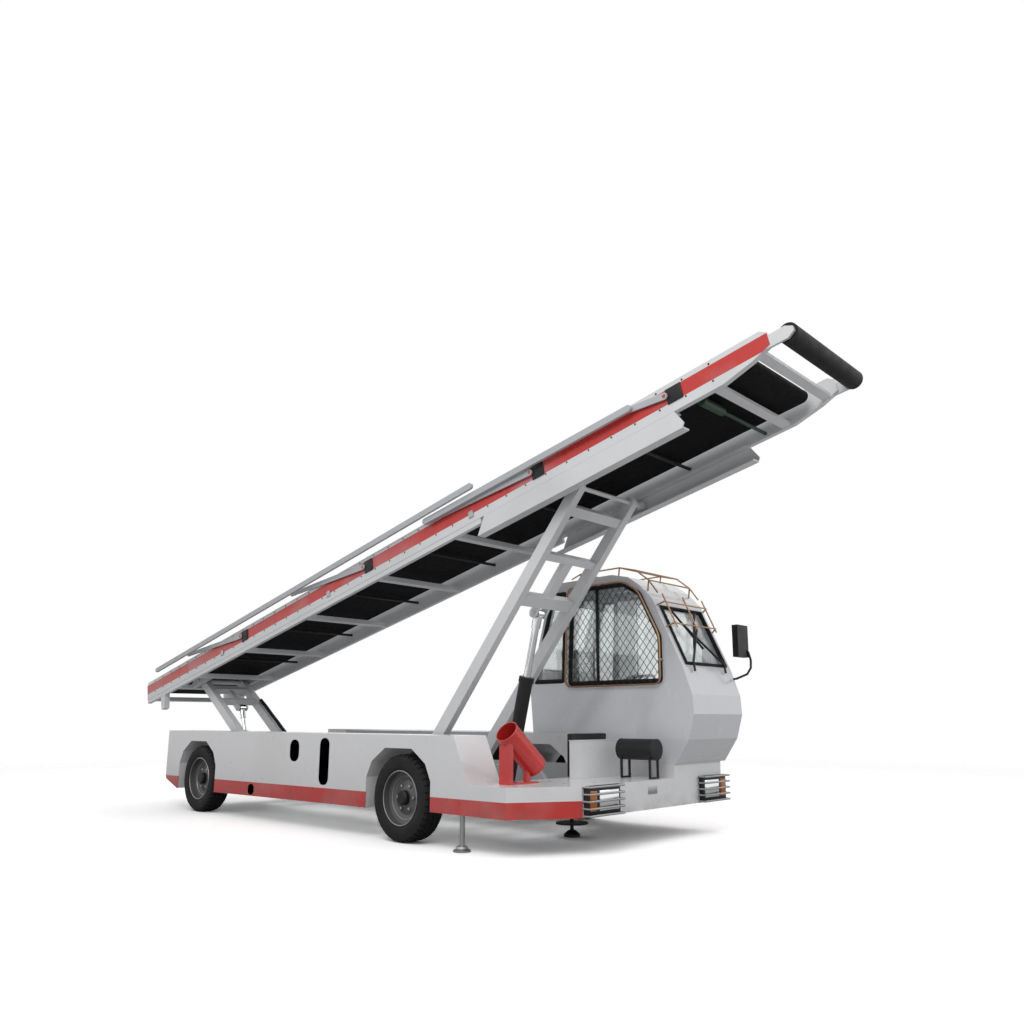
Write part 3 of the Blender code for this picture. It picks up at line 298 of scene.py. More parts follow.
@dataclass
class Shop:
    """Workshop that models, dresses and mounts single pieces."""

    palette: Palette
    count: int = 0

    def deselect(self) -> None:
        """Leave nothing selected."""
        bpy.ops.object.select_all(action="DESELECT")

    def dress(self, piece: bpy.types.Object, name: str, surface: Surface, body: str,
              smooth: float = 35.0) -> bpy.types.Object:
        """Name, shade, paint and mount a finished piece.

        Args:
            piece: the object, with its place not yet in its mesh.
            name: its name.
            surface: its finish.
            body: the body that it rides on.
            smooth: largest angle in degrees that is shaded smooth.

        Returns:
            The piece.
        """
        self.deselect()
        piece.select_set(True)
        bpy.context.view_layer.objects.active = piece
        bpy.ops.object.transform_apply(location=True, rotation=True, scale=True)
        bpy.ops.object.shade_smooth_by_angle(angle=math.radians(smooth))
        piece.name = name
        piece.data.materials.clear()
        piece.data.materials.append(self.palette.get(surface))
        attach(piece, body)
        self.count += 1
        log.info("%s on %s", name, body)
        return piece

    def block(self, centre: Point, size: Point, bevel: float = 0.003, tilt: float = 0.0) -> bpy.types.Object:
        """Bevelled block, tilted with the boom where tilt is its pitch.

        Args:
            centre: middle of the block.
            size: its three sides.
            bevel: width of its rounded edges.
            tilt: turn in radians that lifts its front end.

        Returns:
            The block.
        """
        self.deselect()
        bpy.ops.mesh.primitive_cube_add(size=1.0, location=centre)
        piece = bpy.context.object
        piece.scale = size
        bpy.ops.object.transform_apply(location=False, rotation=False, scale=True)
        bpy.ops.object.mode_set(mode="EDIT")
        if bevel:
            bpy.ops.mesh.select_all(action="SELECT")
            bpy.ops.mesh.bevel(offset=bevel, segments=2, affect="EDGES")
        bpy.ops.mesh.select_all(action="DESELECT")
        bpy.ops.object.mode_set(mode="OBJECT")
        piece.rotation_euler = (0.0, -tilt, 0.0)
        return piece

    def drum(self, start: Point, end: Point, radius: float, bevel: float = 0.002,
             sides: int = 24) -> bpy.types.Object:
        """Round bar with rounded rims between two points.

        Args:
            start: middle of one end.
            end: middle of the other.
            radius: its radius.
            bevel: width of the rounded rims.
            sides: number of facets round it.

        Returns:
            The bar.
        """
        self.deselect()
        a, b = Vector(start), Vector(end)
        bpy.ops.mesh.primitive_cylinder_add(vertices=sides, radius=radius, depth=(b - a).length)
        piece = bpy.context.object
        bpy.ops.object.mode_set(mode="EDIT")
        bpy.ops.mesh.select_all(action="DESELECT")
        bpy.ops.object.mode_set(mode="OBJECT")
        for edge in piece.data.edges:
            heights = [piece.data.vertices[v].co.z for v in edge.vertices]
            edge.select = abs(heights[0] - heights[1]) < 1e-6
        bpy.ops.object.mode_set(mode="EDIT")
        bpy.ops.mesh.select_mode(type="EDGE")
        bpy.ops.mesh.bevel(offset=bevel, segments=2, affect="EDGES")
        bpy.ops.object.mode_set(mode="OBJECT")
        turn = (b - a).to_track_quat("Z", "Y").to_matrix().to_4x4()
        piece.matrix_world = Matrix.Translation((a + b) / 2) @ turn
        return piece

    def wires(self, runs: Sequence[Sequence[Point]], radius: float, cyclic: bool = False,
              sides: int = 2) -> bpy.types.Object:
        """Round wires along runs of points, as one mesh.

        Args:
            runs: the points of each wire.
            radius: radius of the wire.
            cyclic: whether each run closes on itself.
            sides: bevel resolution of the wire.

        Returns:
            The mesh of all the wires.
        """
        self.deselect()
        curve = bpy.data.curves.new("wire", "CURVE")
        curve.dimensions = "3D"
        curve.bevel_depth = radius
        curve.bevel_resolution = sides
        curve.use_fill_caps = True
        for run in runs:
            spline = curve.splines.new("POLY")
            spline.points.add(len(run) - 1)
            for point, co in zip(spline.points, run):
                point.co = (*co, 1.0)
            spline.use_cyclic_u = cyclic
        piece = bpy.data.objects.new("wire", curve)
        bpy.context.scene.collection.objects.link(piece)
        piece.select_set(True)
        bpy.context.view_layer.objects.active = piece
        bpy.ops.object.convert(target="MESH")
        return bpy.context.object

    def join(self, pieces: Sequence[bpy.types.Object]) -> bpy.types.Object:
        """Join pieces into the first of them.

        Args:
            pieces: the pieces to join.

        Returns:
            The joined piece.
        """
        self.deselect()
        for piece in pieces:
            piece.select_set(True)
        bpy.context.view_layer.objects.active = pieces[0]
        if len(pieces) > 1:
            bpy.ops.object.join()
        return pieces[0]

    def bolts(self, places: Sequence[Point], axis: Point, radius: float, height: float) -> bpy.types.Object:
        """Hexagon bolt heads of one size.

        Args:
            places: foot of each bolt.
            axis: way that the heads stand out.
            radius: radius across corners.
            height: height of a head.

        Returns:
            All the heads as one piece.
        """
        step = Vector(axis).normalized() * height
        heads = [self.drum(p, tuple(Vector(p) + step), radius, radius * 0.12, 6) for p in places]
        return self.join(heads)

    def arc(self, centre: Point, radius: float, start: float, end: float, across: float,
            steps: int = 10) -> list[Point]:
        """Points of an arc in a plane square to Y.

        Args:
            centre: middle of the arc.
            radius: its radius.
            start: first angle in degrees.
            end: last angle in degrees.
            across: offset along Y.
            steps: number of steps.

        Returns:
            The points.
        """
        turns = (math.radians(start + (end - start) * i / steps) for i in range(steps + 1))
        x, y, z = centre
        return [(x + radius * math.cos(t), y + across, z + radius * math.sin(t)) for t in turns]


@dataclass
class Wheels:
    """Tyres with their tread, lug nuts and rim beads of the four wheels."""

    shop: Shop
    lugs: int = 40
    nuts: int = 6
    nut_ring: float = 0.088
    nut_radius: float = 0.013
    nut_height: float = 0.018
    disc_out: float = 0.017
    half_drawn: float = 0.092
    groove: float = 0.008

    def build(self) -> None:
        """Build the trim of every wheel."""
        for axle in ("front", "rear"):
            for side, sign in (("right", -1), ("left", 1)):
                self.wheel(f"{axle}_{side}", sign)

    def wheel(self, label: str, sign: int) -> None:
        """Replace one tyre and trim its rim.

        Args:
            label: axle and side.
            sign: -1 on the right and 1 on the left.
        """
        low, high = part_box("tyre_" + label)
        centre = (low + high) / 2
        body = "wheel_" + label
        half = (high.y - low.y) / 2
        tyre = self.tyre(centre, half)
        self.shop.dress(tyre, "tread_" + label, Surface.TYRE, body, 30.0)
        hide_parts("tyre_" + label)
        face = centre.y + sign * self.disc_out
        ring = [(centre.x + self.nut_ring * math.cos(t), face, centre.z + self.nut_ring * math.sin(t))
                for t in (2 * math.pi * i / self.nuts for i in range(self.nuts))]
        nuts = self.shop.bolts(ring, (0, sign, 0), self.nut_radius, self.nut_height)
        self.shop.dress(nuts, "lug_nuts_" + label, Surface.STEEL, body)
        bead = [self.shop.arc(tuple(centre), radius, 0, 360, sign * out, 48)[:-1]
                for radius, out in ((0.186, 0.079), (0.150, 0.026))]
        self.shop.dress(self.shop.wires(bead, 0.004, True), "rim_beads_" + label, Surface.STEEL, body)

    def tyre(self, centre: Vector, half: float) -> bpy.types.Object:
        """Tyre with grooves round it and cross cuts in its shoulders.

        Args:
            centre: middle of the wheel.
            half: half its width.

        Returns:
            The tyre, at its place.
        """
        section = [(0.190, -0.075), (0.205, -0.086), (0.228, -0.0915), (0.250, -0.0918), (0.272, -0.0895),
                   (0.284, -0.086), (0.286, -0.083), (0.296, -0.074), (0.2985, -0.062), (0.2985, -0.044),
                   (0.290, -0.042), (0.290, -0.036), (0.2995, -0.034), (0.2995, -0.014), (0.290, -0.012),
                   (0.290, -0.006), (0.2995, -0.004)]
        section = section + [(r, -y) for r, y in reversed(section)]
        run = [(centre.x + r, centre.y + y * half / self.half_drawn, centre.z) for r, y in section]
        piece = self.shop.wires([run], 0.0, True)
        steps = self.lugs * 4
        bpy.ops.object.mode_set(mode="EDIT")
        bpy.ops.mesh.select_all(action="SELECT")
        bpy.ops.mesh.spin(steps=steps, angle=2 * math.pi, center=centre, axis=(0, 1, 0))
        bpy.ops.mesh.select_all(action="SELECT")
        bpy.ops.mesh.remove_doubles(threshold=0.00005)
        bpy.ops.mesh.normals_make_consistent(inside=False)
        bpy.ops.mesh.select_mode(type="FACE")
        bpy.ops.mesh.select_all(action="DESELECT")
        bpy.ops.object.mode_set(mode="OBJECT")
        for face in piece.data.polygons:
            out = face.center - centre
            turn = math.atan2(out.z, out.x) / (2 * math.pi) * steps
            reach = math.hypot(out.x, out.z)
            face.select = int(turn % 4) == 0 and reach > 0.283 and abs(out.y) > half * 0.48
        bpy.ops.object.mode_set(mode="EDIT")
        bpy.ops.mesh.inset(thickness=0.0006, depth=-self.groove)
        bpy.ops.object.mode_set(mode="OBJECT")
        return piece


@dataclass
class Body:
    """Painted shade in the side slots, headlamps, band bolts and the blank plate of the body."""

    shop: Shop
    lamp_low: float = 0.240
    lamp_high: float = 0.428

    def build(self) -> None:
        """Build all trim of the body."""
        self.slots()
        self.lamp("right", -0.657, -0.316, -1)
        self.lamp("left", 0.70, 1.03, 1)
        self.seams()

    def slots(self) -> None:
        """Black plates with round corners that paint the shade inside the openings in the right side."""
        y = -HALF_WIDTH + 0.0005
        table = (("slot_small_shade", -0.561, -0.425, 0.509, 0.681), ("slot_tall_shade", -0.130, 0.000, 0.345, 0.700),
                 ("vent_low_shade", -1.194, -1.096, 0.212, 0.300))
        for name, x0, x1, z0, z1 in table:
            # Painted shade: each flat black plate stands in for the shaded hollow of an opening.
            centre = ((x0 + x1) / 2, y + 0.002, (z0 + z1) / 2)
            plate = self.shop.block(centre, (x1 - x0, 0.005, z1 - z0), 0.0)
            self.round_ends(plate, min(x1 - x0, z1 - z0) * 0.42)
            self.shop.dress(plate, name, Surface.BLACK, "chassis")

    def round_ends(self, plate: bpy.types.Object, radius: float) -> None:
        """Round the corners of an upright plate.

        Args:
            plate: the plate, square to Y.
            radius: radius of its corners.
        """
        for edge in plate.data.edges:
            ends = [plate.data.vertices[v].co for v in edge.vertices]
            edge.select = abs(ends[0].y - ends[1].y) > 0.001
        bpy.ops.object.mode_set(mode="EDIT")
        bpy.ops.mesh.select_mode(type="EDGE")
        bpy.ops.mesh.bevel(offset=radius, segments=6, affect="EDGES")
        bpy.ops.object.mode_set(mode="OBJECT")

    def lamp(self, label: str, y0: float, y1: float, sign: int) -> None:
        """Headlamp with its orange lamp, bezel and bar guard.

        Args:
            label: right or left.
            y0: lower limit across.
            y1: upper limit across.
            sign: -1 on the right and 1 on the left, the side of the orange lamp.
        """
        z0, z1 = self.lamp_low, self.lamp_high
        mid_z, height = (z0 + z1) / 2, z1 - z0
        width = y1 - y0
        back = self.shop.block((FACE_X + 0.018, (y0 + y1) / 2, mid_z), (0.036, width, height), 0.006)
        self.shop.dress(back, f"lamp_back_{label}", Surface.BLACK, "chassis")
        split = y0 + width * (0.30 if sign < 0 else 0.70)
        spans = ((y0 + 0.022, split - 0.012), (split + 0.012, y1 - 0.022))
        kinds = (Surface.AMBER, Surface.CHROME) if sign < 0 else (Surface.CHROME, Surface.AMBER)
        for (a, b), surface in zip(spans, kinds):
            size = (0.014, b - a, height - 0.060)
            lens = self.shop.block((FACE_X + 0.036, (a + b) / 2, mid_z), size, 0.006)
            kind = "indicator" if surface is Surface.AMBER else "headlamp"
            self.shop.dress(lens, f"{kind}_{label}", surface, "chassis")
        front = FACE_X + 0.062
        levels = [z0 + 0.006 + (height - 0.012) * i / 4 for i in range(5)]
        bars = [[(FACE_X + 0.002, y0 - 0.008, z), (front, y0 - 0.008, z), (front, y1 + 0.008, z),
                 (FACE_X + 0.002, y1 + 0.008, z)] for z in levels]
        self.shop.dress(self.shop.wires(bars, 0.007), f"lamp_guard_{label}", Surface.STEEL, "chassis")

    def seams(self) -> None:
        """Bolt heads along the band and a plain blank plate on the nose."""
        places = [(-2.70 + 0.135 * i, -HALF_WIDTH + 0.0005, 0.345) for i in range(34)]
        places = [p for p in places if abs(p[0] + 2.155) > 0.40 and abs(p[0] - 0.845) > 0.40]
        places = [p for p in places if not -0.16 < p[0] < 0.03]
        heads = self.shop.bolts(places, (0, -1, 0), 0.005, 0.0004)
        self.shop.dress(heads, "band_bolts", Surface.BLACK, "chassis")
        plate = self.shop.block((FACE_X + 0.001, 0.10, 0.36), (0.003, 0.11, 0.05), 0.001)
        self.shop.dress(plate, "blank_plate", Surface.STEEL, "chassis")


@dataclass
class Cab:
    """Window seals, wire guards, wipers, roof rails and seat of the cab."""

    shop: Shop
    right_y: float = 0.375
    left_y: float = 1.065
    seat_voxel: float = 0.008
    puff_frames: int = 20
    puff_cap: float = 0.010

    def build(self) -> None:
        """Build all trim of the cab."""
        self.seals()
        self.side_guard()
        self.front_guard()
        self.roof_guard()
        self.wipers()
        self.seat()

    def ring(self, outline: Sequence[tuple[float, float]], y: float, step: float = 0.05) -> list[Point]:
        """Rounded ring of points over an outline in the side view.

        Args:
            outline: corners (x, z).
            y: its place across.
            step: how far the corners are cut back.

        Returns:
            The points of the ring.
        """
        points: list[Point] = []
        count = len(outline)
        for index in range(count):
            before, here, after = (Vector(outline[(index + k) % count]) for k in (-1, 0, 1))
            cut_a = here + (before - here).normalized() * step
            cut_b = here + (after - here).normalized() * step
            for t in (0.0, 0.25, 0.5, 0.75, 1.0):
                p = cut_a * (1 - t) ** 2 + here * (2 * t * (1 - t)) + cut_b * t ** 2
                points.append((p.x, y, p.y))
        return points

    def seals(self) -> None:
        """Black rubber round every window."""
        side = [(1.22, 1.125), (2.105, 1.125), (2.105, 1.45), (1.925, 1.80), (1.775, 1.885), (1.25, 1.885)]
        quarter = [(0.83, 1.15), (1.15, 1.15), (1.18, 1.87), (1.045, 1.87)]
        rings = [self.ring(side, self.right_y, 0.02), self.ring(quarter, self.right_y, 0.02),
                 self.ring(quarter, self.left_y, 0.02)]
        rings.append([(2.075, 0.44, 1.6877), (2.2856, 0.44, 1.25), (2.2856, 1.0, 1.25),
                      (2.075, 1.0, 1.6877)])
        rings.append([(0.815, 0.45, 1.2543), (0.815, 0.99, 1.2543), (0.975, 0.99, 1.8233),
                      (0.975, 0.45, 1.8233)])
        self.shop.dress(self.shop.wires(rings, 0.018, True), "window_seals", Surface.RUBBER, "chassis")
        door = [(1.40, 1.08), (2.06, 1.08), (2.06, 1.40), (1.88, 1.75), (1.755, 1.83), (1.40, 1.83)]
        seal = self.shop.wires([self.ring(door, self.left_y, 0.02)], 0.009, True)
        self.shop.dress(seal, "door_window_seal", Surface.RUBBER, "door")
        divider = self.shop.block((1.50, self.right_y + 0.013, 1.505), (0.022, 0.020, 0.75), 0.003)
        self.shop.dress(divider, "window_divider", Surface.BLACK, "chassis")

    def side_guard(self) -> None:
        """Copper frame and diamond mesh over the right window."""
        outline = [(1.19, 1.10), (2.12, 1.10), (2.12, 1.46), (1.93, 1.82), (1.79, 1.905), (1.22, 1.905)]
        y = self.right_y - 0.030
        frame = self.shop.wires([self.ring(outline, y, 0.06)], 0.007, True)
        self.shop.dress(frame, "side_guard_frame", Surface.COPPER, "chassis")
        runs: list[list[Point]] = []
        pitch = 0.062
        for slope in (1.25, -1.25):
            for index in range(-40, 60):
                hit = self.clip(outline, index * pitch * slope, slope)
                if hit:
                    runs.append([(x, y + (0.002 if slope > 0 else -0.002), z) for x, z in hit])
        mesh = self.shop.wires(runs, 0.0022, sides=1)
        self.shop.dress(mesh, "side_guard_mesh", Surface.BLACK, "chassis")
        clips = [self.shop.block((x, self.right_y - 0.015, z), (0.028, 0.034, 0.016), 0.002)
                 for x, z in ((1.20, 1.30), (1.21, 1.70), (1.55, 1.903), (1.60, 1.10), (2.118, 1.28))]
        self.shop.dress(self.shop.join(clips), "side_guard_clips", Surface.STEEL, "chassis")

    def clip(self, outline: Sequence[tuple[float, float]], rise: float,
             slope: float) -> list[tuple[float, float]]:
        """Stretch of a sloping line that lies in a convex outline.

        Args:
            outline: corners (x, z) of the outline.
            rise: height of the line where x is 1.6, less 1.5.
            slope: its slope.

        Returns:
            Both ends of the stretch, or nothing.
        """
        hits: list[tuple[float, float]] = []
        for index, (xa, za) in enumerate(outline):
            xb, zb = outline[(index + 1) % len(outline)]
            fa = za - (1.5 + rise + slope * (xa - 1.6))
            fb = zb - (1.5 + rise + slope * (xb - 1.6))
            if fa * fb < 0:
                t = fa / (fa - fb)
                hits.append((xa + (xb - xa) * t, za + (zb - za) * t))
        return hits if len(hits) == 2 and (Vector(hits[0]) - Vector(hits[1])).length > 0.02 else []

    def front_point(self, t: float, y: float, out: float) -> Point:
        """Point over the windshield.

        Args:
            t: 0 at its top and 1 at its foot.
            y: place across.
            out: distance outside it.

        Returns:
            The point.
        """
        x, z = 2.045 + 0.255 * t, 1.75 - 0.53 * t
        return (x + 0.901 * out, y, z + 0.433 * out)

    def front_guard(self) -> None:
        """Copper bars and loops across the windshield's upper half."""
        bracket = ((0.40, 0.004), (0.42, 0.06), (1.02, 0.06), (1.05, 0.004))
        runs = [[self.front_point(t, y, out) for y, out in bracket] for t in (0.10, 0.42)]
        for y in (0.44, 0.72, 1.00):
            runs.append([self.front_point(t, y, 0.062) for t in (-0.02, 0.10, 0.42, 0.48)])
        self.shop.dress(self.shop.wires(runs, 0.0065), "windshield_guard", Surface.COPPER, "chassis")

    def roof_guard(self) -> None:
        """Copper rails on short loops over the roof and its front edge."""
        line = [(1.20, 1.995), (1.30, 2.030), (1.70, 2.035), (1.86, 1.995), (1.98, 1.905), (2.06, 1.80)]
        runs = [[(x, y, z) for x, z in line] for y in (0.43, 1.01)]
        runs += [[(x, 0.43, z), (x, 1.01, z)] for x, z in line[1:5]]
        for x, z, top in ((1.30, 2.030, 1.968), (1.70, 2.035, 1.967), (1.98, 1.905, 1.82)):
            runs += [[(x, y, z), (x - 0.01, y, top)] for y in (0.43, 1.01)]
        self.shop.dress(self.shop.wires(runs, 0.0065), "roof_guard", Surface.COPPER, "chassis")

    def wipers(self) -> None:
        """Two black wiper arms with their blades, crossing over the windshield."""
        runs = []
        for foot_y, tip_y in ((0.50, 0.80), (0.94, 0.62)):
            runs.append([self.front_point(1.06, foot_y, 0.012), self.front_point(0.95, foot_y, 0.030),
                         self.front_point(0.40, tip_y, 0.024)])
            runs.append([self.front_point(0.72, (foot_y + tip_y) / 2 - 0.02, 0.016),
                         self.front_point(0.16, tip_y + (tip_y - foot_y) * 0.25, 0.016)])
        self.shop.dress(self.shop.wires(runs, 0.009), "wipers", Surface.BLACK, "chassis")

    def seat(self) -> None:
        """Padded driver's seat: cushion and back puffed out within the solid's space."""
        low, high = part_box("driver_seat")
        centre_y, width = (low.y + high.y) / 2, high.y - low.y - 0.03
        cushion = self.shop.block((1.23, centre_y, 0.852), (0.44, width, 0.080), 0.025)
        back = self.shop.block((1.035, centre_y, 1.175), (0.075, width, 0.53), 0.025, 0.0)
        back.rotation_euler = (0.0, -0.06, 0.0)
        pad = self.shop.join([cushion, back])
        self.shop.deselect()
        pad.select_set(True)
        bpy.context.view_layer.objects.active = pad
        bpy.ops.object.transform_apply(location=True, rotation=True, scale=True)
        modifier = pad.modifiers.new("voxels", "REMESH")
        modifier.mode = "VOXEL"
        modifier.voxel_size = self.seat_voxel
        bpy.ops.object.modifier_apply(modifier="voxels")
        self.puff(pad)
        modifier = pad.modifiers.new("soften", "SUBSURF")
        modifier.levels = 1
        modifier.render_levels = 1
        bpy.ops.object.modifier_apply(modifier="soften")
        self.shop.dress(pad, "seat_pad", Surface.CLOTH, "chassis", 60.0)
        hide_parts("driver_seat")

    def puff(self, pad: bpy.types.Object) -> None:
        """Swell a pad by cloth pressure, with a cap on how far it moves.

        Args:
            pad: the remeshed pad.
        """
        rest = [v.co.copy() for v in pad.data.vertices]
        modifier = pad.modifiers.new("puff", "CLOTH")
        modifier.settings.use_pressure = True
        modifier.settings.uniform_pressure_force = 4.0
        modifier.settings.effector_weights.gravity = 0.0
        modifier.point_cache.frame_start = 1
        modifier.point_cache.frame_end = self.puff_frames
        for frame_number in range(1, self.puff_frames + 1):
            bpy.context.scene.frame_set(frame_number)
        bpy.ops.object.modifier_apply(modifier="puff")
        for vertex, start in zip(pad.data.vertices, rest):
            move = vertex.co - start
            if move.length > self.puff_cap:
                vertex.co = start + move.normalized() * self.puff_cap


@dataclass
class Boom:
    """Spring boxes, rail clips, guard bolts and return rollers of the boom."""

    shop: Shop

    def build(self) -> None:
        """Build all trim of the boom."""
        outer = BOOM_Y - BOOM_HALF_WIDTH
        for index, u in enumerate((1.248, 3.229, 5.145, 6.278)):
            place = boom_point(u + 0.062, 0.066, outer - 0.004)
            box = self.shop.block(place, (0.110, 0.006, 0.100), 0.002, BOOM_PITCH)
            self.shop.dress(box, f"spring_box_{index}", Surface.BLACK, "boom")
        for index, u in enumerate((0.868, 2.709, 4.525)):
            place = boom_point(u, 0.020, outer - 0.004)
            clip = self.shop.block(place, (0.05, 0.008, 0.05), 0.002, BOOM_PITCH)
            self.shop.dress(clip, f"rail_clip_{index}", Surface.STEEL, "boom")
        self.bolts()
        self.rollers()

    def bolts(self) -> None:
        """Small dark bolt heads along both edges of the guards."""
        for side in (-1, 1):
            y = BOOM_Y + side * BOOM_HALF_WIDTH
            places = [boom_point(-0.62 + 0.19 * i, w, y) for i in range(39) for w in (0.126, 0.012)]
            heads = self.shop.bolts(places, (0, side, 0), 0.006, 0.004)
            self.shop.dress(heads, f"guard_bolts_{'left' if side > 0 else 'right'}", Surface.BLACK, "boom")

    def rollers(self) -> None:
        """Thin dark return rollers between the beams, under the belt."""
        rollers = [self.shop.drum(boom_point(u, -0.004, -0.832), boom_point(u, -0.004, 0.012), 0.012)
                   for u in (0.10, 0.78, 1.78, 2.82, 3.85, 4.90, 5.85)]
        self.shop.dress(self.shop.join(rollers), "return_rollers", Surface.BLACK, "boom")


@dataclass
class Deck:
    """Tank ends, tube rims, box lid and pump cover on the front deck."""

    shop: Shop
    rim_radius: float = 0.078

    def build(self) -> None:
        """Build all trim of the deck."""
        ends = [self.shop.drum((x, 0.20, 0.63), (x + 0.010, 0.20, 0.63), 0.0765) for x in (1.858, 2.162)]
        self.shop.dress(self.shop.join(ends), "tank_ends", Surface.BLACK, "chassis")
        mouth, heel = Vector((1.75, -0.90, 0.765)), Vector((1.75, -0.62, 0.530))
        along = (heel - mouth).normalized()
        side = Vector((1, 0, 0))
        up = side.cross(along)
        for index, reach in enumerate((0.003, 0.33)):
            centre = mouth + along * reach
            turns = (2 * math.pi * i / 40 for i in range(40))
            ring = [tuple(centre + (up * math.cos(t) + side * math.sin(t)) * self.rim_radius) for t in turns]
            rim = self.shop.wires([ring], 0.0035, True)
            self.shop.dress(rim, f"tube_rim_{index}", Surface.RED, "chassis")
        lid = self.shop.block((1.705, 0.0825, 0.692), (0.088, 0.505, 0.006), 0.002)
        self.shop.dress(lid, "control_box_lid", Surface.BOOM, "chassis")
        cover = self.shop.block((1.628, 0.0825, 0.585), (0.058, 0.400, 0.310), 0.010)
        self.shop.dress(cover, "pump_cover", Surface.BLACK, "chassis")


@dataclass
class Frame:
    """Dresses every solid of the frame with its finish."""

    shop: Shop
    nodes: dict[str, bpy.types.Object]

    def build(self) -> None:
        """Give each solid its material."""
        special = {"right_body_side": Surface.BODY, "left_body_side": Surface.BODY,
                   "front_deck": Surface.BODY, "rear_panel": Surface.BODY, "boom_frame": Surface.BOOM,
                   "front_lift_frame": Surface.LIFT, "rear_lift_frame": Surface.LIFT,
                   "cab_shell": Surface.CAB, "cab_door": Surface.CAB, "conveyor_belt": Surface.BELT}
        special.update({name: Surface.RIM for name in self.nodes if name.startswith("rim_")})
        plain = {surface.slot: surface for surface in reversed(Surface)}
        slots = {row["node"]: row["material_slot"] for row in self.rows()}
        for name, piece in self.nodes.items():
            surface = special.get(name, plain[slots[name]])
            piece.data.materials.clear()
            piece.data.materials.append(self.shop.palette.get(surface))
            log.info("frame %s in %s", name, surface.name)

    def rows(self) -> list[dict[str, str]]:
        """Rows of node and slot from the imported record."""
        return FRAME["record"]["subparts"]


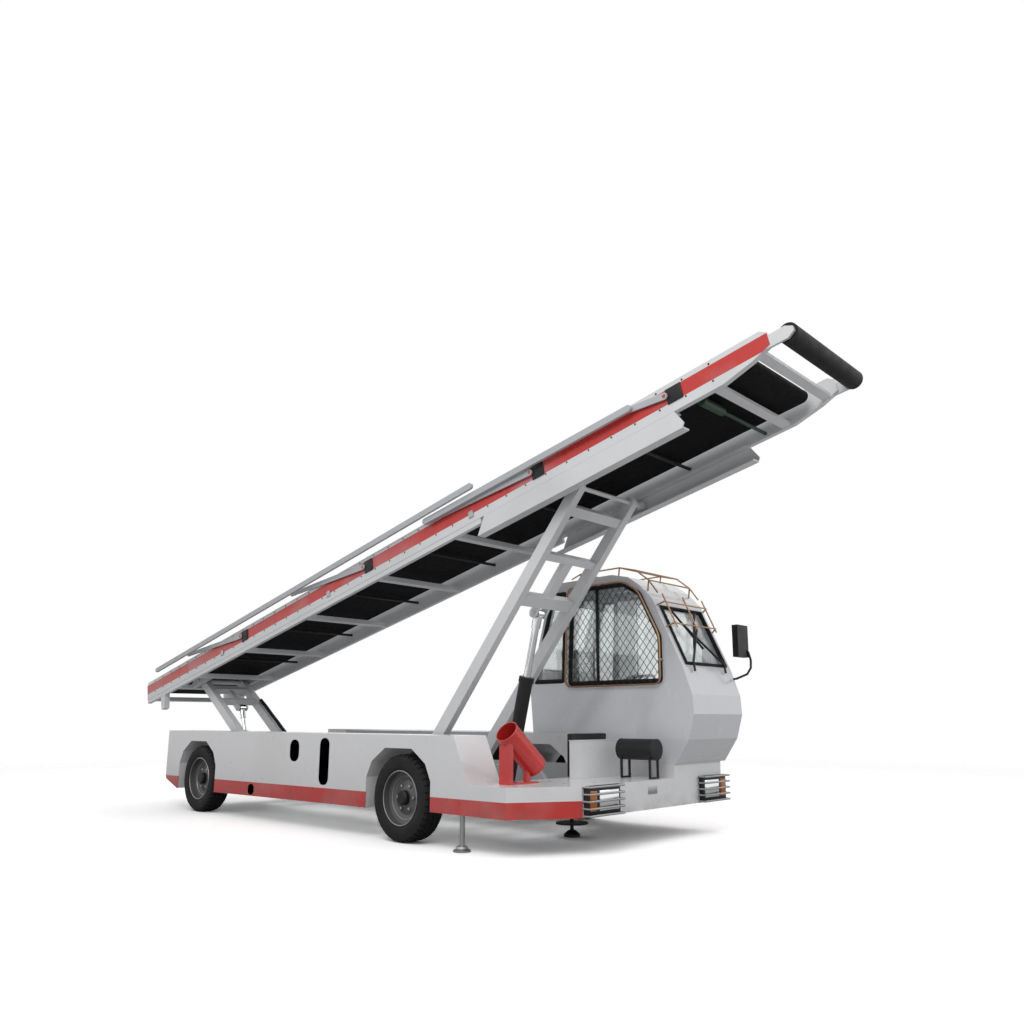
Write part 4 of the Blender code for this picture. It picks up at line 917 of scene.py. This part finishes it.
@dataclass
class Studio:
    """Floor, lamps, world and camera."""

    place: Point = (5.710, -4.917, 0.842)
    look: Point = (-0.6631, 0.7217, 0.1992)
    lens: float = 29.57
    shift_x: float = -0.0241
    shift_y: float = 0.0356
    lamp_size: float = 5.0
    sky_light: float = 0.50
    floor_near: float = 6.0
    floor_far: float = 14.0

    def build(self) -> None:
        """Build the studio."""
        scene = bpy.context.scene
        scene.view_settings.view_transform = "Standard"
        self.floor()
        self.world(scene)
        for name, place, power in (("key", (4.5, -6.5, 7.0), 300.0), ("fill", (7.5, 3.5, 4.5), 110.0),
                                   ("back", (-6.0, 4.0, 6.5), 120.0)):
            lamp = bpy.data.lights.new(name, "AREA")
            lamp.energy = power
            lamp.size = self.lamp_size
            holder = bpy.data.objects.new(name, lamp)
            holder.location = place
            holder.rotation_euler = (-Vector(place)).to_track_quat("-Z", "Y").to_euler()
            scene.collection.objects.link(holder)
        camera = bpy.data.cameras.new("camera")
        camera.lens = self.lens
        camera.sensor_width = 36.0
        camera.shift_x = self.shift_x
        camera.shift_y = self.shift_y
        holder = bpy.data.objects.new("camera", camera)
        holder.location = self.place
        holder.rotation_euler = Vector(self.look).to_track_quat("-Z", "Y").to_euler()
        scene.collection.objects.link(holder)
        scene.camera = holder

    def floor(self) -> None:
        """Pale floor that keeps the machine's shadow and fades into the white of the sky."""
        bpy.ops.object.select_all(action="DESELECT")
        bpy.ops.mesh.primitive_plane_add(size=80.0, location=(0, 0, -0.001))
        plane = bpy.context.object
        plane.name = "floor"
        material = bpy.data.materials.new("pale_floor")
        material.use_nodes = True
        tree = material.node_tree
        tree.nodes.clear()
        path = tree.nodes.new("ShaderNodeLightPath")
        seen, bounced, clear = (tree.nodes.new(kind) for kind in (
            "ShaderNodeBsdfDiffuse", "ShaderNodeBsdfDiffuse", "ShaderNodeBsdfTransparent"))
        seen.inputs["Color"].default_value = (1.65, 1.65, 1.65, 1.0)
        bounced.inputs["Color"].default_value = (0.45, 0.45, 0.45, 1.0)
        near = tree.nodes.new("ShaderNodeMixShader")
        tree.links.new(path.outputs["Is Camera Ray"], near.inputs[0])
        tree.links.new(bounced.outputs[0], near.inputs[1])
        tree.links.new(seen.outputs[0], near.inputs[2])
        place = tree.nodes.new("ShaderNodeTexCoord")
        distance = tree.nodes.new("ShaderNodeVectorMath")
        distance.operation = "LENGTH"
        tree.links.new(place.outputs["Object"], distance.inputs[0])
        fade = tree.nodes.new("ShaderNodeMapRange")
        fade.interpolation_type = "SMOOTHSTEP"
        fade.inputs["From Min"].default_value = self.floor_near
        fade.inputs["From Max"].default_value = self.floor_far
        tree.links.new(distance.outputs["Value"], fade.inputs["Value"])
        whole = tree.nodes.new("ShaderNodeMixShader")
        output = tree.nodes.new("ShaderNodeOutputMaterial")
        tree.links.new(fade.outputs["Result"], whole.inputs[0])
        tree.links.new(near.outputs[0], whole.inputs[1])
        tree.links.new(clear.outputs[0], whole.inputs[2])
        tree.links.new(whole.outputs[0], output.inputs["Surface"])
        plane.data.materials.append(material)

    def world(self, scene: bpy.types.Scene) -> None:
        """Sky that is white where it is seen and softer where it lights the machine.

        Args:
            scene: the scene that gets it.
        """
        world = bpy.data.worlds.new("studio")
        world.use_nodes = True
        tree = world.node_tree
        sky = tree.nodes["Background"]
        sky.inputs["Color"].default_value = (1.0, 1.0, 1.0, 1.0)
        path = tree.nodes.new("ShaderNodeLightPath")
        both = tree.nodes.new("ShaderNodeMath")
        both.operation = "MAXIMUM"
        either = tree.nodes.new("ShaderNodeMath")
        either.operation = "MAXIMUM"
        tree.links.new(path.outputs["Is Camera Ray"], both.inputs[0])
        tree.links.new(path.outputs["Is Transmission Ray"], both.inputs[1])
        tree.links.new(both.outputs[0], either.inputs[0])
        tree.links.new(path.outputs["Is Glossy Ray"], either.inputs[1])
        strength = tree.nodes.new("ShaderNodeMapRange")
        strength.inputs["To Min"].default_value = self.sky_light
        strength.inputs["To Max"].default_value = 1.0
        tree.links.new(either.outputs[0], strength.inputs["Value"])
        tree.links.new(strength.outputs["Result"], sky.inputs["Strength"])
        scene.world = world


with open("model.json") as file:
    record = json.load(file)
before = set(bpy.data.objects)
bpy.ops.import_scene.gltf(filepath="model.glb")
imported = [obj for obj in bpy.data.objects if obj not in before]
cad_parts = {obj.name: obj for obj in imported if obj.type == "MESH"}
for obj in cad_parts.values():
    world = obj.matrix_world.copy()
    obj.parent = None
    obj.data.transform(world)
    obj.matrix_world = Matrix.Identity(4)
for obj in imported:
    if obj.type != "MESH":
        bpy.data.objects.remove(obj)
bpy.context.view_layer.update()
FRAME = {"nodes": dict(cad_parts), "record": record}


def main() -> None:
    """Dress the frame, build the trim and set up the studio."""
    logging.basicConfig(level=logging.INFO, format="%(message)s")
    shop = Shop(Palette())
    Frame(shop, FRAME["nodes"]).build()
    for assembly in (Wheels(shop), Body(shop), Cab(shop), Boom(shop), Deck(shop), Studio()):
        assembly.build()
    log.info("%d trim pieces", shop.count)


if __name__ == "__main__":
    main()
